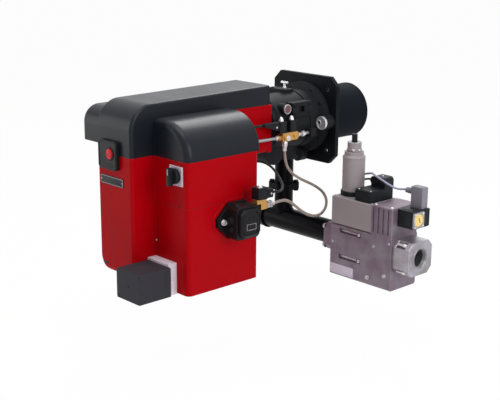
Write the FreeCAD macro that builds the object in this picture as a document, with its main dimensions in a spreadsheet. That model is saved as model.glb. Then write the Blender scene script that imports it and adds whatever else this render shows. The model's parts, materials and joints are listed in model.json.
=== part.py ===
import FreeCAD, Part
import Sketcher
import math
import operator
import os
from types import SimpleNamespace

# Dual fuel burner, millimetres.
# The origin is the centre of the mounting flange's boiler side.
# +X is the way the flame points, +Y is the burner's left side, +Z is up.

doc = FreeCAD.newDocument("DualFuelBurner")
sheet = doc.addObject("Spreadsheet::Sheet", "Sizes")

# Driving sizes. Names that end in _x, _y or _z are places, the rest are lengths, radii and walls.
sizes = {
    # clearances
    "run_gap": 0.1,
    "slide_gap": 0.3,
    "bolt_gap": 0.6,
    # mounting flange and blast tube
    "flange_side": 225,
    "flange_thick": 12,
    "flange_cut": 23,
    "flange_pitch": 160,
    "flange_hole_r": 6.5,
    "tube_r": 72.5,
    "tube_wall": 3,
    "tube_reach": 159,
    "tube_seat": 18,
    "tube_root_step": 1,
    "tube_edge": 1.2,
    # mixing head
    "lance_r": 9,
    "lance_reach": 112,
    "nozzle_r": 7,
    "nozzle_long": 14,
    "diffuser_r": 62,
    "diffuser_thick": 2,
    "diffuser_rim": 9,
    "diffuser_hub_r": 14,
    "slot_count": 10,
    "slot_inner_r": 31,
    "slot_outer_r": 54,
    "slot_wide": 6,
    "gas_head_r": 52,
    "gas_hub_r": 28,
    "gas_set_back": 52,
    "gas_head_thick": 8,
    "spud_count": 8,
    "spud_r": 4.5,
    "spud_pitch_r": 44,
    "spud_long": 40,
    "rod_y": 12,
    "rod_z": 21,
    "rod_r": 4.5,
    "rod_wire_r": 1.3,
    "rod_long": 44,
    # head casting
    "head_ring_r": 92,
    "head_ring_long": 14,
    "head_rear_x": -190,
    "head_front_r": 74,
    "head_rear_r": 70,
    "head_wall": 8,
    "head_plate": 12,
    "head_hub_back": 30,
    "head_hub_front": 33,
    "belly_x": -146,
    "belly_z": -75,
    "belly_r": 32,
    "belly_half": 28,
    "riser_x": -83,
    "riser_boss_r": 32,
    "riser_boss_z": -100,
    "lug_r": 18.5,
    "lug_y": 91.3,
    "lug_long": 26,
    "lug_z": -2,
    "low_lug_z": -98,
    "clamp_disc_r": 17,
    "clamp_disc_thick": 6,
    "clamp_socket_r": 4.5,
    "clamp_socket_off": 8,
    "thumb_x": -86,
    "thumb_r": 3,
    "thumb_bar_r": 3.6,
    "thumb_bar_half": 11,
    "thumb_top_z": 99.5,
    "bar_top_z": 80,
    "bar_half_x": 15,
    "bar_right_y": -16,
    "bar_left_y": 46,
    "pad_y": -80,
    "pad_rear_x": -135,
    "pad_front_x": -70,
    "pad_low_z": 22,
    "pad_high_z": 57,
    "socket_side": 15,
    "socket_deep": 9,
    "sight_x": -150,
    "sight_z": 43,
    "sight_r": 11,
    "sight_y": -76,
    "sight_thick": 3,
    # oil valve group beside the head
    "oil_y": -82,
    "oil_deep": 20,
    "oil_block_top": -12,
    "oil_block_tall": 20,
    "oil_rear_x": -181,
    "oil_front_x": -129,
    "coil_wide": 24,
    "coil_tall": 29,
    "coil_front_x": -142,
    "coil_rear_x": -178,
    "coil_round": 3,
    "coil_nut_r": 6.5,
    "coil_nut_tall": 11,
    "plug_long": 51,
    "plug_tall": 22,
    "plug_tip": 6,
    "plug_wide": 14,
    "lead_r": 3,
    "oil_pipe_r": 4,
    "oil_pipe_z": -23,
    "oil_boss_x": -81,
    "oil_union_r": 7,
    "oil_union_long": 9,
    "hose_stub_x": -164.5,
    "hose_stub_r": 6,
    "hose_stub_long": 18,
    # red fan housing
    "body_right_y": -60,
    "body_left_y": 63,
    "seam_y": 19,
    "body_rear_x": -621,
    "body_low_z": -299,
    "duct_low_z": -61,
    "duct_top_z": 58,
    "rear_top_z": -17.5,
    "step_x": -400,
    "scroll_front_x": -345,
    "body_wall": 4,
    "front_frame": 14,
    "air_hole_r": 54,
    "scroll_round": 60,
    "rear_round": 12,
    "neck_round": 24,
    "side_round": 38,
    "eye_r": 50,
    # fan, motor and drive line
    "axis_x": -421,
    "axis_z": -165,
    "fan_r": 68,
    "fan_inner_r": 54,
    "fan_left_y": 6,
    "fan_right_y": -50,
    "fan_plate": 2,
    "blade_count": 24,
    "blade_thick": 1.4,
    "fan_hub_r": 15,
    "fan_hub_long": 20,
    "shaft_r": 6,
    "shaft_hole_r": 20,
    "motor_r": 60,
    "motor_flange_r": 70,
    "motor_flange": 8,
    "motor_long": 92,
    "motor_dome": 12,
    "motor_fin": 4,
    "fin_count": 24,
    "coupling_r": 9,
    "coupling_rear_y": -168,
    # black top hood
    "hood_front_x": -197,
    "hood_top_z": 106,
    "hood_rear_top_z": 99,
    "hood_wall": 3,
    "hood_round": 58,
    "hood_edge": 7,
    "lobe_y": 131,
    "lobe_low_z": 0,
    "lobe_top_z": 81,
    "lobe_front_x": -404,
    "lobe_round": 40,
    "lobe_edge": 12,
    "base_thick": 3,
    "base_long": 130,
    "relay_gap": 20,
    "relay_long": 90,
    "relay_tall": 58,
    # latch at the back
    "latch_thick": 9,
    "latch_right_y": -17,
    "latch_left_y": 52,
    "latch_low_z": -52,
    "latch_high_z": 14,
    "latch_round": 9,
    "lock_y": 8,
    "lock_z": -15,
    "lock_r": 12,
    "lock_head": 4,
    "lock_stem_r": 5,
    # air intake box
    "box_rear_x": -558,
    "box_front_x": -343,
    "box_side_y": -178,
    "box_low_z": -324,
    "box_seam_z": -122,
    "box_round": 12,
    "rim_proud": 3,
    "rim_wide": 7,
    "flap_half": 52,
    "flap_thick": 2,
    "flap_y": -119,
    "flap_z": -268,
    "flap_shaft_r": 5,
    # servomotor
    "servo_plate": 24,
    "servo_plate_right": -137,
    "servo_plate_top": -252,
    "servo_low_z": -326,
    "servo_top_z": -257,
    "servo_right_y": -146,
    "servo_left_y": -61,
    "servo_long": 87,
    "servo_round": 3,
    # oil pump
    "pump_flange": 12,
    "pump_tip": 59,
    "pump_tip_half": 9,
    "pump_shoulder": 24,
    "pump_flange_half": 42,
    "pump_bolt": 42,
    "pump_half_x": 35,
    "pump_half_z": 38,
    "pump_cut": 6,
    "pump_face_y": -237,
    "pump_cover": 11,
    "cover_half_x": 30,
    "cover_half_z": 32,
    "cover_cut": 9,
    "pump_bolt_r": 6.5,
    "pump_bolt_head": 6,
    "port_r": 6.6,
    "port_deep": 12,
    "port_pitch": 30,
    "solenoid_rear_x": -398,
    "solenoid_front_x": -369,
    "solenoid_front_y": -237,
    "solenoid_back_y": -209,
    "solenoid_low_z": -116,
    "solenoid_high_z": -90,
    "solenoid_round": 4,
    "connector_long": 19,
    "connector_inset": 4,
    "connector_tall": 20,
    "fitting_r": 7,
    "fitting_nut_r": 7.5,
    "fitting_z": -134,
    "fitting_y": -222,
    "fitting_half": 9,
    "fitting_long": 22,
    # control hood and selector
    "control_top_z": 66,
    "control_round": 80,
    "control_rear_round": 16,
    "selector_right_y": -163,
    "selector_left_y": -119,
    "selector_low_z": -72,
    "selector_high_z": -28,
    "selector_plate": 3,
    "selector_r": 17,
    "selector_head": 11,
    "selector_grip": 12,
    "selector_lever": 20,
    # gas pipe work
    "riser_r": 24.15,
    "riser_bore_r": 20.7,
    "joint_z": -174,
    "joint_thick": 8,
    "joint_turn": 50,
    "joint_ear": 31.5,
    "joint_ear_r": 8,
    "joint_half_x": 30,
    "joint_bolt_r": 4,
    "joint_nut_r": 7,
    "joint_nut": 6,
    "manifold_z": -265,
    "manifold_r": 30.15,
    "manifold_bore_r": 26.5,
    "manifold_left_y": 50,
    "cap_r": 34,
    "cap_long": 20,
    # gas valve
    "outlet_left_y": -184,
    "valve_left_y": -214,
    "valve_right_y": -405,
    "valve_rear_x": -131,
    "valve_front_x": -35,
    "valve_low_z": -353,
    "valve_top_z": -221,
    "valve_cut": 4,
    "outlet_half_x": 41,
    "outlet_half_z": 34,
    "outlet_cut": 14,
    "column_left_y": -341,
    "column_top_z": -151,
    "rib_deep": 4,
    "rib_wide": 5,
    "rib_count": 4,
    "rib_pitch": 15,
    "slot_left_y": -241,
    "slot_right_y": -311,
    "slot_tall": 12,
    "slot_deep": 7,
    "slot_high_z": -236,
    "slot_low_z": -302,
    "cover_left_y": -214,
    "cover_top_z": -153,
    "cover_round": 3,
    "inlet_right_y": -454,
    "inlet_face": 14,
    "inlet_z": -268,
    "inlet_half_x": 43,
    "inlet_half_z": 41,
    "inlet_cut": 15,
    "inlet_r": 23,
    "inlet_deep": 34,
    "inlet_screw_r": 4.5,
    "inlet_screw_x": 34,
    "inlet_screw_z": 33,
    "inlet_screw_long": 26,
    # regulator tower on the valve
    "tower_x": -85,
    "tower_y": -242,
    "tower_ring_r": 30.5,
    "tower_ring": 10,
    "tower_r": 27.5,
    "tower_top_z": -57,
    "shoulder_r": 23.5,
    "shoulder_top_z": -45,
    "tower_cap_r": 17,
    "tower_cap_z": -22,
    "tower_knob_r": 7,
    "tower_knob_z": -2,
    # plugs on the valve cover
    "valve_plug_rear_x": -126,
    "valve_plug_front_x": -42,
    "valve_plug_right_y": -333,
    "valve_plug_left_y": -283,
    "valve_plug_tall": 28,
    "rear_plug_x": -75,
    "rear_plug_left_y": -290,
    "rear_plug_top_z": -99,
    "rear_nose_x": -52,
    "rear_nose_z": -115,
    "rear_nose_r": 8.5,
    "rear_nose_long": 14,
    "gland_x": -46,
    "gland_r": 5,
    "gland_tall": 7.5,
    "black_gland_y": -231.5,
    "grey_gland_y": -220,
    # gas pressure switch
    "switch_rear_x": -112,
    "switch_front_x": -50,
    "switch_right_y": -450,
    "switch_low_z": -195,
    "switch_top_z": -152,
    "window_wide": 36,
    "window_thick": 5,
    "dial_x": -94,
    "dial_z": -173.5,
    "dial_r": 15,
    "dial_thick": 5,
    "dial_stem_r": 3,
    "grey_plug_x": -75,
    "grey_plug_front_x": -53,
    "grey_plug_right_y": -446,
    "grey_plug_left_y": -411,
    "grey_plug_top_z": -103,
    "grey_nose_z": -117,
    "grey_nose_r": 6.5,
    "grey_nose_long": 18,
    # hose and cables
    "hose_r": 3.5,
    "cable_r": 3,
    "thin_r": 2.5,
}


class Size(float):
    # A number that carries the sheet expression it was worked out from.

    def __new__(cls, value, text):
        made = float.__new__(cls, value)
        made.text = text
        return made

    def __add__(self, other):
        return joined(self, "+", other)

    def __radd__(self, other):
        return joined(other, "+", self)

    def __sub__(self, other):
        return joined(self, "-", other)

    def __rsub__(self, other):
        return joined(other, "-", self)

    def __mul__(self, other):
        return joined(self, "*", other)

    def __rmul__(self, other):
        return joined(other, "*", self)

    def __truediv__(self, other):
        return joined(self, "/", other)

    def __neg__(self):
        return joined(0, "-", self)


worked = {"+": operator.add, "-": operator.sub, "*": operator.mul, "/": operator.truediv}


def text_of(value):
    return value.text if isinstance(value, Size) else repr(round(float(value), 6))


def joined(first, sign, second):
    value = worked[sign](float(first), float(second))
    return Size(value, "(" + text_of(first) + " " + sign + " " + text_of(second) + ")")


def fill_sheet():
    named = {}
    for row, (name, value) in enumerate(sizes.items(), start=1):
        cell = "B" + str(row)
        sheet.set("A" + str(row), name)
        sheet.set(cell, str(value))
        sheet.setAlias(cell, name)
        named[name] = Size(value, "Sizes." + name)
    return SimpleNamespace(**named)


d = fill_sheet()
doc.recompute()
pieces = []


def bind(thing, prop, value):
    thing.setExpression(prop, text_of(value))


def keep(thing, label):
    thing.Label = label
    pieces.append(thing)
    return thing


# Plain solids, bound to the sheet

def box(name, x, y, z):
    made = doc.addObject("Part::Box", name)
    for prop, base, (low, high) in zip(("Length", "Width", "Height"), "xyz", (x, y, z)):
        bind(made, prop, high - low)
        bind(made, "Placement.Base." + base, low)
    return made


def rod(name, axis, centre, span, radius):
    made = doc.addObject("Part::Cylinder", name)
    turns = {
        "X": FreeCAD.Rotation(FreeCAD.Vector(0, 1, 0), 90),
        "Y": FreeCAD.Rotation(FreeCAD.Vector(1, 0, 0), -90),
        "Z": FreeCAD.Rotation(),
    }
    bases = {
        "X": (span[0], centre[0], centre[1]),
        "Y": (centre[0], span[0], centre[1]),
        "Z": (centre[0], centre[1], span[0]),
    }
    made.Placement = FreeCAD.Placement(FreeCAD.Vector(), turns[axis])
    bind(made, "Radius", radius)
    bind(made, "Height", span[1] - span[0])
    for base, value in zip("xyz", bases[axis]):
        bind(made, "Placement.Base." + base, value)
    return made


def cut(name, base, *tools):
    made = doc.addObject("Part::Cut", name)
    made.Base = base
    made.Tool = tools[0] if len(tools) == 1 else fuse(name + "Tools", *tools)
    return made


def fuse(name, *shapes):
    made = doc.addObject("Part::MultiFuse", name)
    made.Shapes = list(shapes)
    return made


def common(name, base, tool):
    made = doc.addObject("Part::Common", name)
    made.Base = base
    made.Tool = tool
    return made


def group(name, *shapes):
    made = doc.addObject("Part::Compound", name)
    made.Links = list(shapes)
    return made


def softened(name, base, radius, test):
    # Rounds the edges of base that pass the test.
    doc.recompute()
    made = doc.addObject("Part::Fillet", name)
    made.Base = base
    chosen = [i for i, edge in enumerate(base.Shape.Edges, start=1) if test(edge)]
    made.Edges = [(i, float(radius), float(radius)) for i in chosen]
    return made


# Bodies: sketches on the body's own planes, padded, cut and turned

def new_body(name):
    return doc.addObject("PartDesign::Body", name)


def new_sketch(body, plane, offset):
    sketch = body.newObject("Sketcher::SketchObject", body.Name + "Sketch")
    origin = [f for f in body.Origin.OriginFeatures if f.Role == plane + "_Plane"][0]
    sketch.AttachmentSupport = [(origin, "")]
    sketch.MapMode = "FlatFace"
    for base, value in zip("xyz", offset):
        bind(sketch, "AttachmentOffset.Base." + base, value)
    return sketch


def hold(sketch, kind, index, place, value):
    made = sketch.addConstraint(Sketcher.Constraint(kind, -1, 1, index, place, float(value)))
    sketch.setExpression("Constraints[" + str(made) + "]", text_of(value))


def outline(sketch, corners):
    first = sketch.GeometryCount
    ends = [FreeCAD.Vector(float(a), float(b), 0) for a, b in corners]
    count = len(ends)
    lines = [Part.LineSegment(ends[i], ends[(i + 1) % count]) for i in range(count)]
    sketch.addGeometry(lines, False)
    for i in range(count):
        after = first + (i + 1) % count
        sketch.addConstraint(Sketcher.Constraint("Coincident", first + i, 2, after, 1))
    for i, (a, b) in enumerate(corners):
        hold(sketch, "DistanceX", first + i, 1, a)
        hold(sketch, "DistanceY", first + i, 1, b)


def circle(sketch, centre, radius):
    middle = FreeCAD.Vector(float(centre[0]), float(centre[1]), 0)
    index = sketch.addGeometry(Part.Circle(middle, FreeCAD.Vector(0, 0, 1), float(radius)), False)
    hold(sketch, "DistanceX", index, 3, centre[0])
    hold(sketch, "DistanceY", index, 3, centre[1])
    made = sketch.addConstraint(Sketcher.Constraint("Radius", index, float(radius)))
    sketch.setExpression("Constraints[" + str(made) + "]", text_of(radius))


def pad(body, plane, span, corners=None, circles=()):
    # Fills a profile from span[0] to span[1] along the plane's own axis.
    start = -span[1] if plane == "XZ" else span[0]
    sketch = new_sketch(body, plane, (0, 0, start))
    if corners:
        outline(sketch, corners)
    for centre, radius in circles:
        circle(sketch, centre, radius)
    made = body.newObject("PartDesign::Pad", body.Name + "Pad")
    made.Profile = sketch
    bind(made, "Length", span[1] - span[0])
    return made


def pocket(body, plane, span, corners=None, circles=()):
    # Cuts a profile out from span[0] to span[1] along the plane's own axis.
    start = -span[0] if plane == "XZ" else span[1]
    sketch = new_sketch(body, plane, (0, 0, start))
    if corners:
        outline(sketch, corners)
    for centre, radius in circles:
        circle(sketch, centre, radius)
    doc.recompute()
    before = body.Shape.Volume
    made = body.newObject("PartDesign::Pocket", body.Name + "Pocket")
    made.Profile = sketch
    bind(made, "Length", span[1] - span[0])
    doc.recompute()
    if before - body.Shape.Volume < 1e-3:
        raise RuntimeError(body.Name + ": a pocket cuts nothing")
    return made


def turned(body, axis, centre, profile, feature="PartDesign::Revolution"):
    # Turns a profile of (place along the axis, radius) about an axis through centre.
    plane, offset = {
        "X": ("XZ", (0, centre[1], -centre[0])),
        "Y": ("YZ", (0, centre[1], centre[0])),
        "Z": ("XZ", (centre[0], 0, -centre[1])),
    }[axis]
    sketch = new_sketch(body, plane, offset)
    outline(sketch, [(r, a) for a, r in profile] if axis == "Z" else profile)
    made = body.newObject(feature, body.Name + "Turn")
    made.Profile = sketch
    made.ReferenceAxis = (sketch, ["V_Axis" if axis == "Z" else "H_Axis"])
    made.Angle = 360
    return made


def lathe(name, axis, centre, profile):
    body = new_body(name)
    turned(body, axis, centre, profile)
    return body


def along(edge, axis):
    # True where a straight edge runs along one of the axes.
    if not isinstance(edge.Curve, Part.Line):
        return False
    return abs(abs(edge.Curve.Direction["XYZ".index(axis)]) - 1) < 1e-6


def near(edge, **places):
    # True where the middle of an edge lies at the places given.
    middle = edge.CenterOfMass
    return all(abs(getattr(middle, name) - float(value)) < 0.05 for name, value in places.items())


def dress(body, kind, size, test):
    # Rounds or bevels the edges of a body's last feature that pass the test.
    doc.recompute()
    base = body.Tip
    names = ["Edge" + str(i) for i, edge in enumerate(base.Shape.Edges, start=1) if test(edge)]
    if not names:
        raise RuntimeError(body.Name + ": no edge to dress")
    made = body.newObject("PartDesign::" + kind, body.Name + kind)
    made.Base = (base, names)
    bind(made, "Radius" if kind == "Fillet" else "Size", size)
    return made


def repeat(body, features, axis, count, span=360):
    # Repeats features round one of the body's axes.
    made = body.newObject("PartDesign::PolarPattern", body.Name + "Round")
    made.Originals = features
    line = [f for f in body.Origin.OriginFeatures if f.Role == axis + "_Axis"][0]
    made.Axis = (line, [""])
    made.Angle = span
    bind(made, "Occurrences", count)
    body.Tip = made
    return made


def octagon(middle, half_a, half_b, cut_size):
    # Corners of a rectangle with its four corners cut off.
    a, b = middle
    return [
        (a - half_a, b - half_b + cut_size),
        (a - half_a + cut_size, b - half_b),
        (a + half_a - cut_size, b - half_b),
        (a + half_a, b - half_b + cut_size),
        (a + half_a, b + half_b - cut_size),
        (a + half_a - cut_size, b + half_b),
        (a - half_a + cut_size, b + half_b),
        (a - half_a, b + half_b - cut_size),
    ]


def mounting_flange():
    body = new_body("mounting_flange")
    half = d.flange_side / 2
    pitch = d.flange_pitch / 2
    corners = octagon((0, 0), half, half, d.flange_cut)
    holes = [((a * pitch, b * pitch), d.flange_hole_r) for a in (-1, 1) for b in (-1, 1)]
    middle = [((0, 0), d.tube_r + d.slide_gap)]
    pad(body, "YZ", (-d.flange_thick, 0), corners, holes + middle)
    keep(body, "mounting_flange")


def blast_tube():
    inner = d.tube_r - d.tube_wall
    start = -(d.flange_thick + d.tube_seat)
    profile = [
        (start, inner),
        (start, d.tube_r - d.tube_root_step),
        (0, d.tube_r - d.tube_root_step),
        (0, d.tube_r),
        (d.tube_reach - d.tube_edge, d.tube_r),
        (d.tube_reach, d.tube_r - d.tube_edge),
        (d.tube_reach, inner),
    ]
    keep(lathe("blast_tube", "X", (0, 0), profile), "blast_tube")


def head_hub_front():
    return d.riser_x + d.head_hub_front


def gas_head_front():
    return d.lance_reach - d.gas_set_back


def nozzle_lance():
    start = head_hub_front() - d.head_hub_back
    tip = d.lance_reach + d.nozzle_long
    profile = [
        (start, 0),
        (start, d.lance_r),
        (d.lance_reach, d.lance_r),
        (d.lance_reach, d.nozzle_r),
        (tip - d.nozzle_r / 2, d.nozzle_r),
        (tip, d.nozzle_r / 2),
        (tip, 0),
    ]
    keep(lathe("nozzle_lance", "X", (0, 0), profile), "nozzle_lance")


def diffuser_plate():
    body = new_body("diffuser_plate")
    back = d.lance_reach - d.diffuser_rim
    face = back + d.diffuser_thick
    bore = d.lance_r + d.run_gap
    profile = [
        (back, bore),
        (back, d.diffuser_r),
        (d.lance_reach, d.diffuser_r),
        (d.lance_reach, d.diffuser_r - d.diffuser_thick),
        (face, d.diffuser_r - d.diffuser_thick),
        (face, d.diffuser_hub_r),
        (d.lance_reach, d.diffuser_hub_r),
        (d.lance_reach, bore),
    ]
    turned(body, "X", (0, 0), profile)
    half = d.slot_wide / 2
    slant = d.slot_wide * 1.5
    slot = [
        (-half, d.slot_inner_r),
        (half, d.slot_inner_r),
        (slant + half, d.slot_outer_r),
        (slant - half, d.slot_outer_r),
    ]
    swirl = pocket(body, "YZ", (back, face), slot)
    repeat(body, [swirl], "X", d.slot_count)
    rods = [((side * d.rod_y, d.rod_z), d.rod_r + d.slide_gap) for side in (-1, 1)]
    pocket(body, "YZ", (back, face), None, rods)
    keep(body, "diffuser_plate")


def gas_head():
    body = new_body("gas_head")
    start = head_hub_front()
    front = gas_head_front()
    back = front - d.gas_head_thick
    bore = d.lance_r + d.run_gap
    profile = [
        (start, bore),
        (start, d.gas_hub_r),
        (back - (d.gas_head_r - d.gas_hub_r), d.gas_hub_r),
        (back, d.gas_head_r),
        (front, d.gas_head_r),
        (front, bore),
    ]
    turned(body, "X", (0, 0), profile)
    tip = front + d.spud_long
    spud = pad(body, "YZ", (front, tip), None, [((0, d.spud_pitch_r), d.spud_r)])
    repeat(body, [spud], "X", d.spud_count)
    keep(body, "gas_head")


def ignition_electrodes():
    rods = []
    for side, name in ((-1, "Right"), (1, "Left")):
        centre = (side * d.rod_y, d.rod_z)
        tip = gas_head_front() + d.rod_long
        sleeve = rod("Sleeve" + name, "X", centre, (gas_head_front(), tip), d.rod_r)
        wire = rod("Wire" + name, "X", centre, (tip, tip + d.rod_long / 3), d.rod_wire_r)
        rods.append(fuse("Electrode" + name, sleeve, wire))
    keep(group("ignition_electrodes", *rods), "ignition_electrodes")


def head_casting():
    ring_back = -(d.flange_thick + d.head_ring_long)
    seat = -(d.flange_thick + d.tube_seat)
    seat_r = d.tube_r - d.tube_root_step + d.slide_gap
    rear = d.head_rear_x
    inner_r = d.head_front_r - d.head_wall
    barrel = [
        (-d.flange_thick, seat_r),
        (-d.flange_thick, d.head_ring_r),
        (ring_back, d.head_ring_r),
        (ring_back - d.head_wall, d.head_front_r),
        (rear + d.head_plate, d.head_rear_r),
        (rear, d.head_rear_r),
        (rear, d.air_hole_r),
        (rear + d.head_plate, d.air_hole_r),
        (ring_back - d.head_wall * 5, inner_r),
        (seat, inner_r),
        (seat, seat_r),
    ]
    shell = lathe("HeadBarrel", "X", (0, 0), barrel)
    centre = (d.riser_x, 0)
    hub_span = (d.riser_x - d.head_hub_back, head_hub_front())
    boss = rod("RiserBoss", "Z", centre, (d.riser_boss_z, 0), d.riser_boss_r)
    hub = rod("HeadHub", "X", (0, 0), hub_span, d.gas_hub_r)
    lug_span = (-(d.flange_thick + d.lug_long), -d.flange_thick)
    lugs = [
        rod("Lug" + name, "X", (side * d.lug_y, d.lug_z), lug_span, d.lug_r)
        for side, name in ((-1, "Right"), (1, "Left"))
    ]
    low_lug = rod("LugLow", "X", (0, d.low_lug_z), lug_span, d.lug_r)
    belly_span = (-d.belly_half, d.belly_half)
    belly = rod("BellyRound", "Y", (d.belly_x, d.belly_z), belly_span, d.belly_r)
    room = [
        (rear + d.head_plate, 0),
        (rear + d.head_plate, d.air_hole_r),
        (ring_back - d.head_wall * 5, inner_r),
        (ring_back - d.head_wall * 5, 0),
    ]
    belly = cut("Belly", belly, lathe("BellyRoom", "X", (0, 0), room))
    plate_y = (d.body_right_y + d.body_wall, d.body_left_y - d.body_wall)
    plate_z = (d.duct_low_z + d.body_wall, d.duct_top_z - d.body_wall)
    plate = box("RearPlate", (rear, rear + d.head_plate), plate_y, plate_z)
    bar_x = (d.thumb_x - d.bar_half_x, d.thumb_x + d.bar_half_x)
    inside = d.head_rear_r - d.head_wall / 2
    bar = box("TopBar", bar_x, (d.bar_right_y, d.bar_left_y), (inside - d.thumb_bar_half, d.bar_top_z))
    side_pad = box(
        "SidePad",
        (d.pad_rear_x, d.pad_front_x),
        (d.pad_y, d.pad_y + d.head_wall * 3),
        (d.pad_low_z, d.pad_high_z),
    )
    sight_seat = d.sight_y + d.sight_thick
    sight = rod(
        "SightBoss",
        "Y",
        (d.sight_x, d.sight_z),
        (sight_seat, sight_seat + d.head_wall * 3),
        d.sight_r + d.head_wall / 4,
    )
    oil_half = d.oil_deep / 2
    oil_boss = box(
        "OilBoss",
        (d.oil_boss_x, d.oil_boss_x + d.oil_deep),
        (d.oil_y - oil_half, d.oil_y + oil_half * 2),
        (d.oil_pipe_z - oil_half, d.oil_pipe_z + oil_half),
    )
    added = [plate, boss, hub, bar, side_pad, sight, oil_boss, low_lug, belly]
    solid = fuse("HeadSolid", shell, *added, *lugs)
    tube_room = rod("TubeRoom", "X", (0, 0), (seat, -d.flange_thick), seat_r)
    air_way = rod("AirWay", "X", (0, 0), (rear, rear + d.head_plate), d.air_hole_r)
    lance_span = (head_hub_front() - d.head_hub_back, head_hub_front())
    lance_hole = rod("LanceHole", "X", (0, 0), lance_span, d.lance_r + d.run_gap)
    gas_way = rod("GasWay", "Z", centre, (d.riser_boss_z, -d.lance_r * 2), d.riser_bore_r)
    thumb_seat = d.bar_top_z - d.thumb_bar_half
    thumb_hole = rod(
        "ThumbHole", "Z", (d.thumb_x, 0), (thumb_seat, d.bar_top_z), d.thumb_r + d.run_gap
    )
    middle_x = (d.pad_rear_x + d.pad_front_x) / 2
    middle_z = (d.pad_low_z + d.pad_high_z) / 2
    half = d.socket_side / 2
    socket = box(
        "SideSocket",
        (middle_x - half, middle_x + half),
        (d.pad_y, d.pad_y + d.socket_deep),
        (middle_z - half, middle_z + half),
    )
    made = cut("head_casting", solid, tube_room, air_way, lance_hole, gas_way, thumb_hole, socket)
    keep(made, "head_casting")


def head_screws():
    lug_back = -(d.flange_thick + d.lug_long)
    made = []
    for side, name in ((-1, "Right"), (1, "Left")):
        centre = (side * d.lug_y, d.lug_z)
        start = lug_back - d.clamp_disc_thick
        disc = rod("Disc" + name, "X", centre, (start, lug_back), d.clamp_disc_r)
        depth = (start, start + d.clamp_disc_thick / 2)
        inward = (side * (d.lug_y - d.clamp_socket_off), d.lug_z)
        hole = rod("DiscHole" + name, "X", inward, depth, d.clamp_socket_r)
        made.append(cut("Clamp" + name, disc, hole))
    keep(group("head_screws", *made), "head_screws")


def thumb_screw():
    seat = d.bar_top_z - d.thumb_bar_half + d.slide_gap
    middle = d.thumb_top_z - d.thumb_bar_r
    shank = rod("ThumbShank", "Z", (d.thumb_x, 0), (seat, middle), d.thumb_r)
    half = d.thumb_bar_half
    centre = (d.thumb_x, middle)
    bar = rod("ThumbBar", "Y", centre, (-half, half), d.thumb_bar_r)
    keep(fuse("thumb_screw", shank, bar), "thumb_screw")


def sight_glass():
    span = (d.sight_y, d.sight_y + d.sight_thick)
    keep(rod("sight_glass", "Y", (d.sight_x, d.sight_z), span, d.sight_r), "sight_glass")


def oil_valves():
    half = d.oil_deep / 2
    y = (d.oil_y - half, d.oil_y + half)
    bottom = d.oil_block_top - d.oil_block_tall
    block = box("OilBlockCore", (d.oil_rear_x, d.oil_front_x), y, (bottom, d.oil_block_top))
    centre = (d.oil_y, d.oil_pipe_z)
    rear_union = (d.oil_rear_x - d.oil_union_long, d.oil_rear_x)
    front_union = (d.oil_front_x, d.oil_front_x + d.oil_union_long)
    unions = [
        rod("RearUnion", "X", centre, rear_union, d.oil_union_r),
        rod("FrontUnion", "X", centre, front_union, d.oil_union_r),
    ]
    drop = (bottom - d.hose_stub_long, bottom)
    stub = rod("HoseStub", "Z", (d.hose_stub_x, d.oil_y), drop, d.hose_stub_r)
    keep(fuse("oil_valve_block", block, stub, *unions), "oil_valve_block")
    top = d.oil_block_top + d.coil_tall
    coils = []
    nuts = []
    for x, name in ((d.coil_front_x, "Front"), (d.coil_rear_x, "Rear")):
        wide = (x - d.coil_wide / 2, x + d.coil_wide / 2)
        core = box("CoilCore" + name, wide, y, (d.oil_block_top, top))
        coils.append(softened("Coil" + name, core, d.coil_round, lambda edge: along(edge, "Z")))
        profile = [
            (top, 0),
            (top, d.coil_nut_r),
            (top + d.coil_nut_tall / 2, d.coil_nut_r),
            (top + d.coil_nut_tall, d.coil_nut_r / 2),
            (top + d.coil_nut_tall, 0),
        ]
        nuts.append(lathe("Nut" + name, "Z", (x, d.oil_y), profile))
    keep(group("oil_coils", *coils), "oil_coils")
    keep(group("coil_nuts", *nuts), "coil_nuts")
    seat = d.coil_rear_x - d.coil_wide / 2
    tip = seat - d.plug_long
    wedge = [(seat, top - d.plug_tall), (seat, top), (tip, top), (tip, top - d.plug_tip)]
    plug = new_body("PlugWedge")
    pad(plug, "XZ", (d.oil_y - d.plug_wide / 2, d.oil_y + d.plug_wide / 2), wedge)
    lead_at = (d.oil_y, top - d.plug_tip / 2)
    lead = rod("PlugLead", "X", lead_at, (d.box_front_x + d.slide_gap, tip), d.lead_r)
    keep(fuse("coil_plug", plug, lead), "coil_plug")
    rear_end = d.oil_rear_x - d.oil_union_long
    front_end = d.oil_front_x + d.oil_union_long
    pipes = [
        rod("RearPipe", "X", centre, (d.box_front_x, rear_end), d.oil_pipe_r),
        rod("FrontPipe", "X", centre, (front_end, d.oil_boss_x), d.oil_pipe_r),
    ]
    keep(group("oil_pipe", *pipes), "oil_pipe")


def housing_outline(inset, top_extra):
    # The fan housing seen from its side; inset is the wall taken off all round.
    return [
        (d.head_rear_x - inset, d.duct_low_z + inset),
        (d.scroll_front_x - inset, d.duct_low_z + inset),
        (d.scroll_front_x - inset, d.body_low_z + inset),
        (d.body_rear_x + inset, d.body_low_z + inset),
        (d.body_rear_x + inset, d.rear_top_z + top_extra),
        (d.step_x + inset, d.rear_top_z + top_extra),
        (d.step_x + inset, d.duct_top_z + top_extra),
        (d.head_rear_x - inset, d.duct_top_z + top_extra),
    ]


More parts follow.
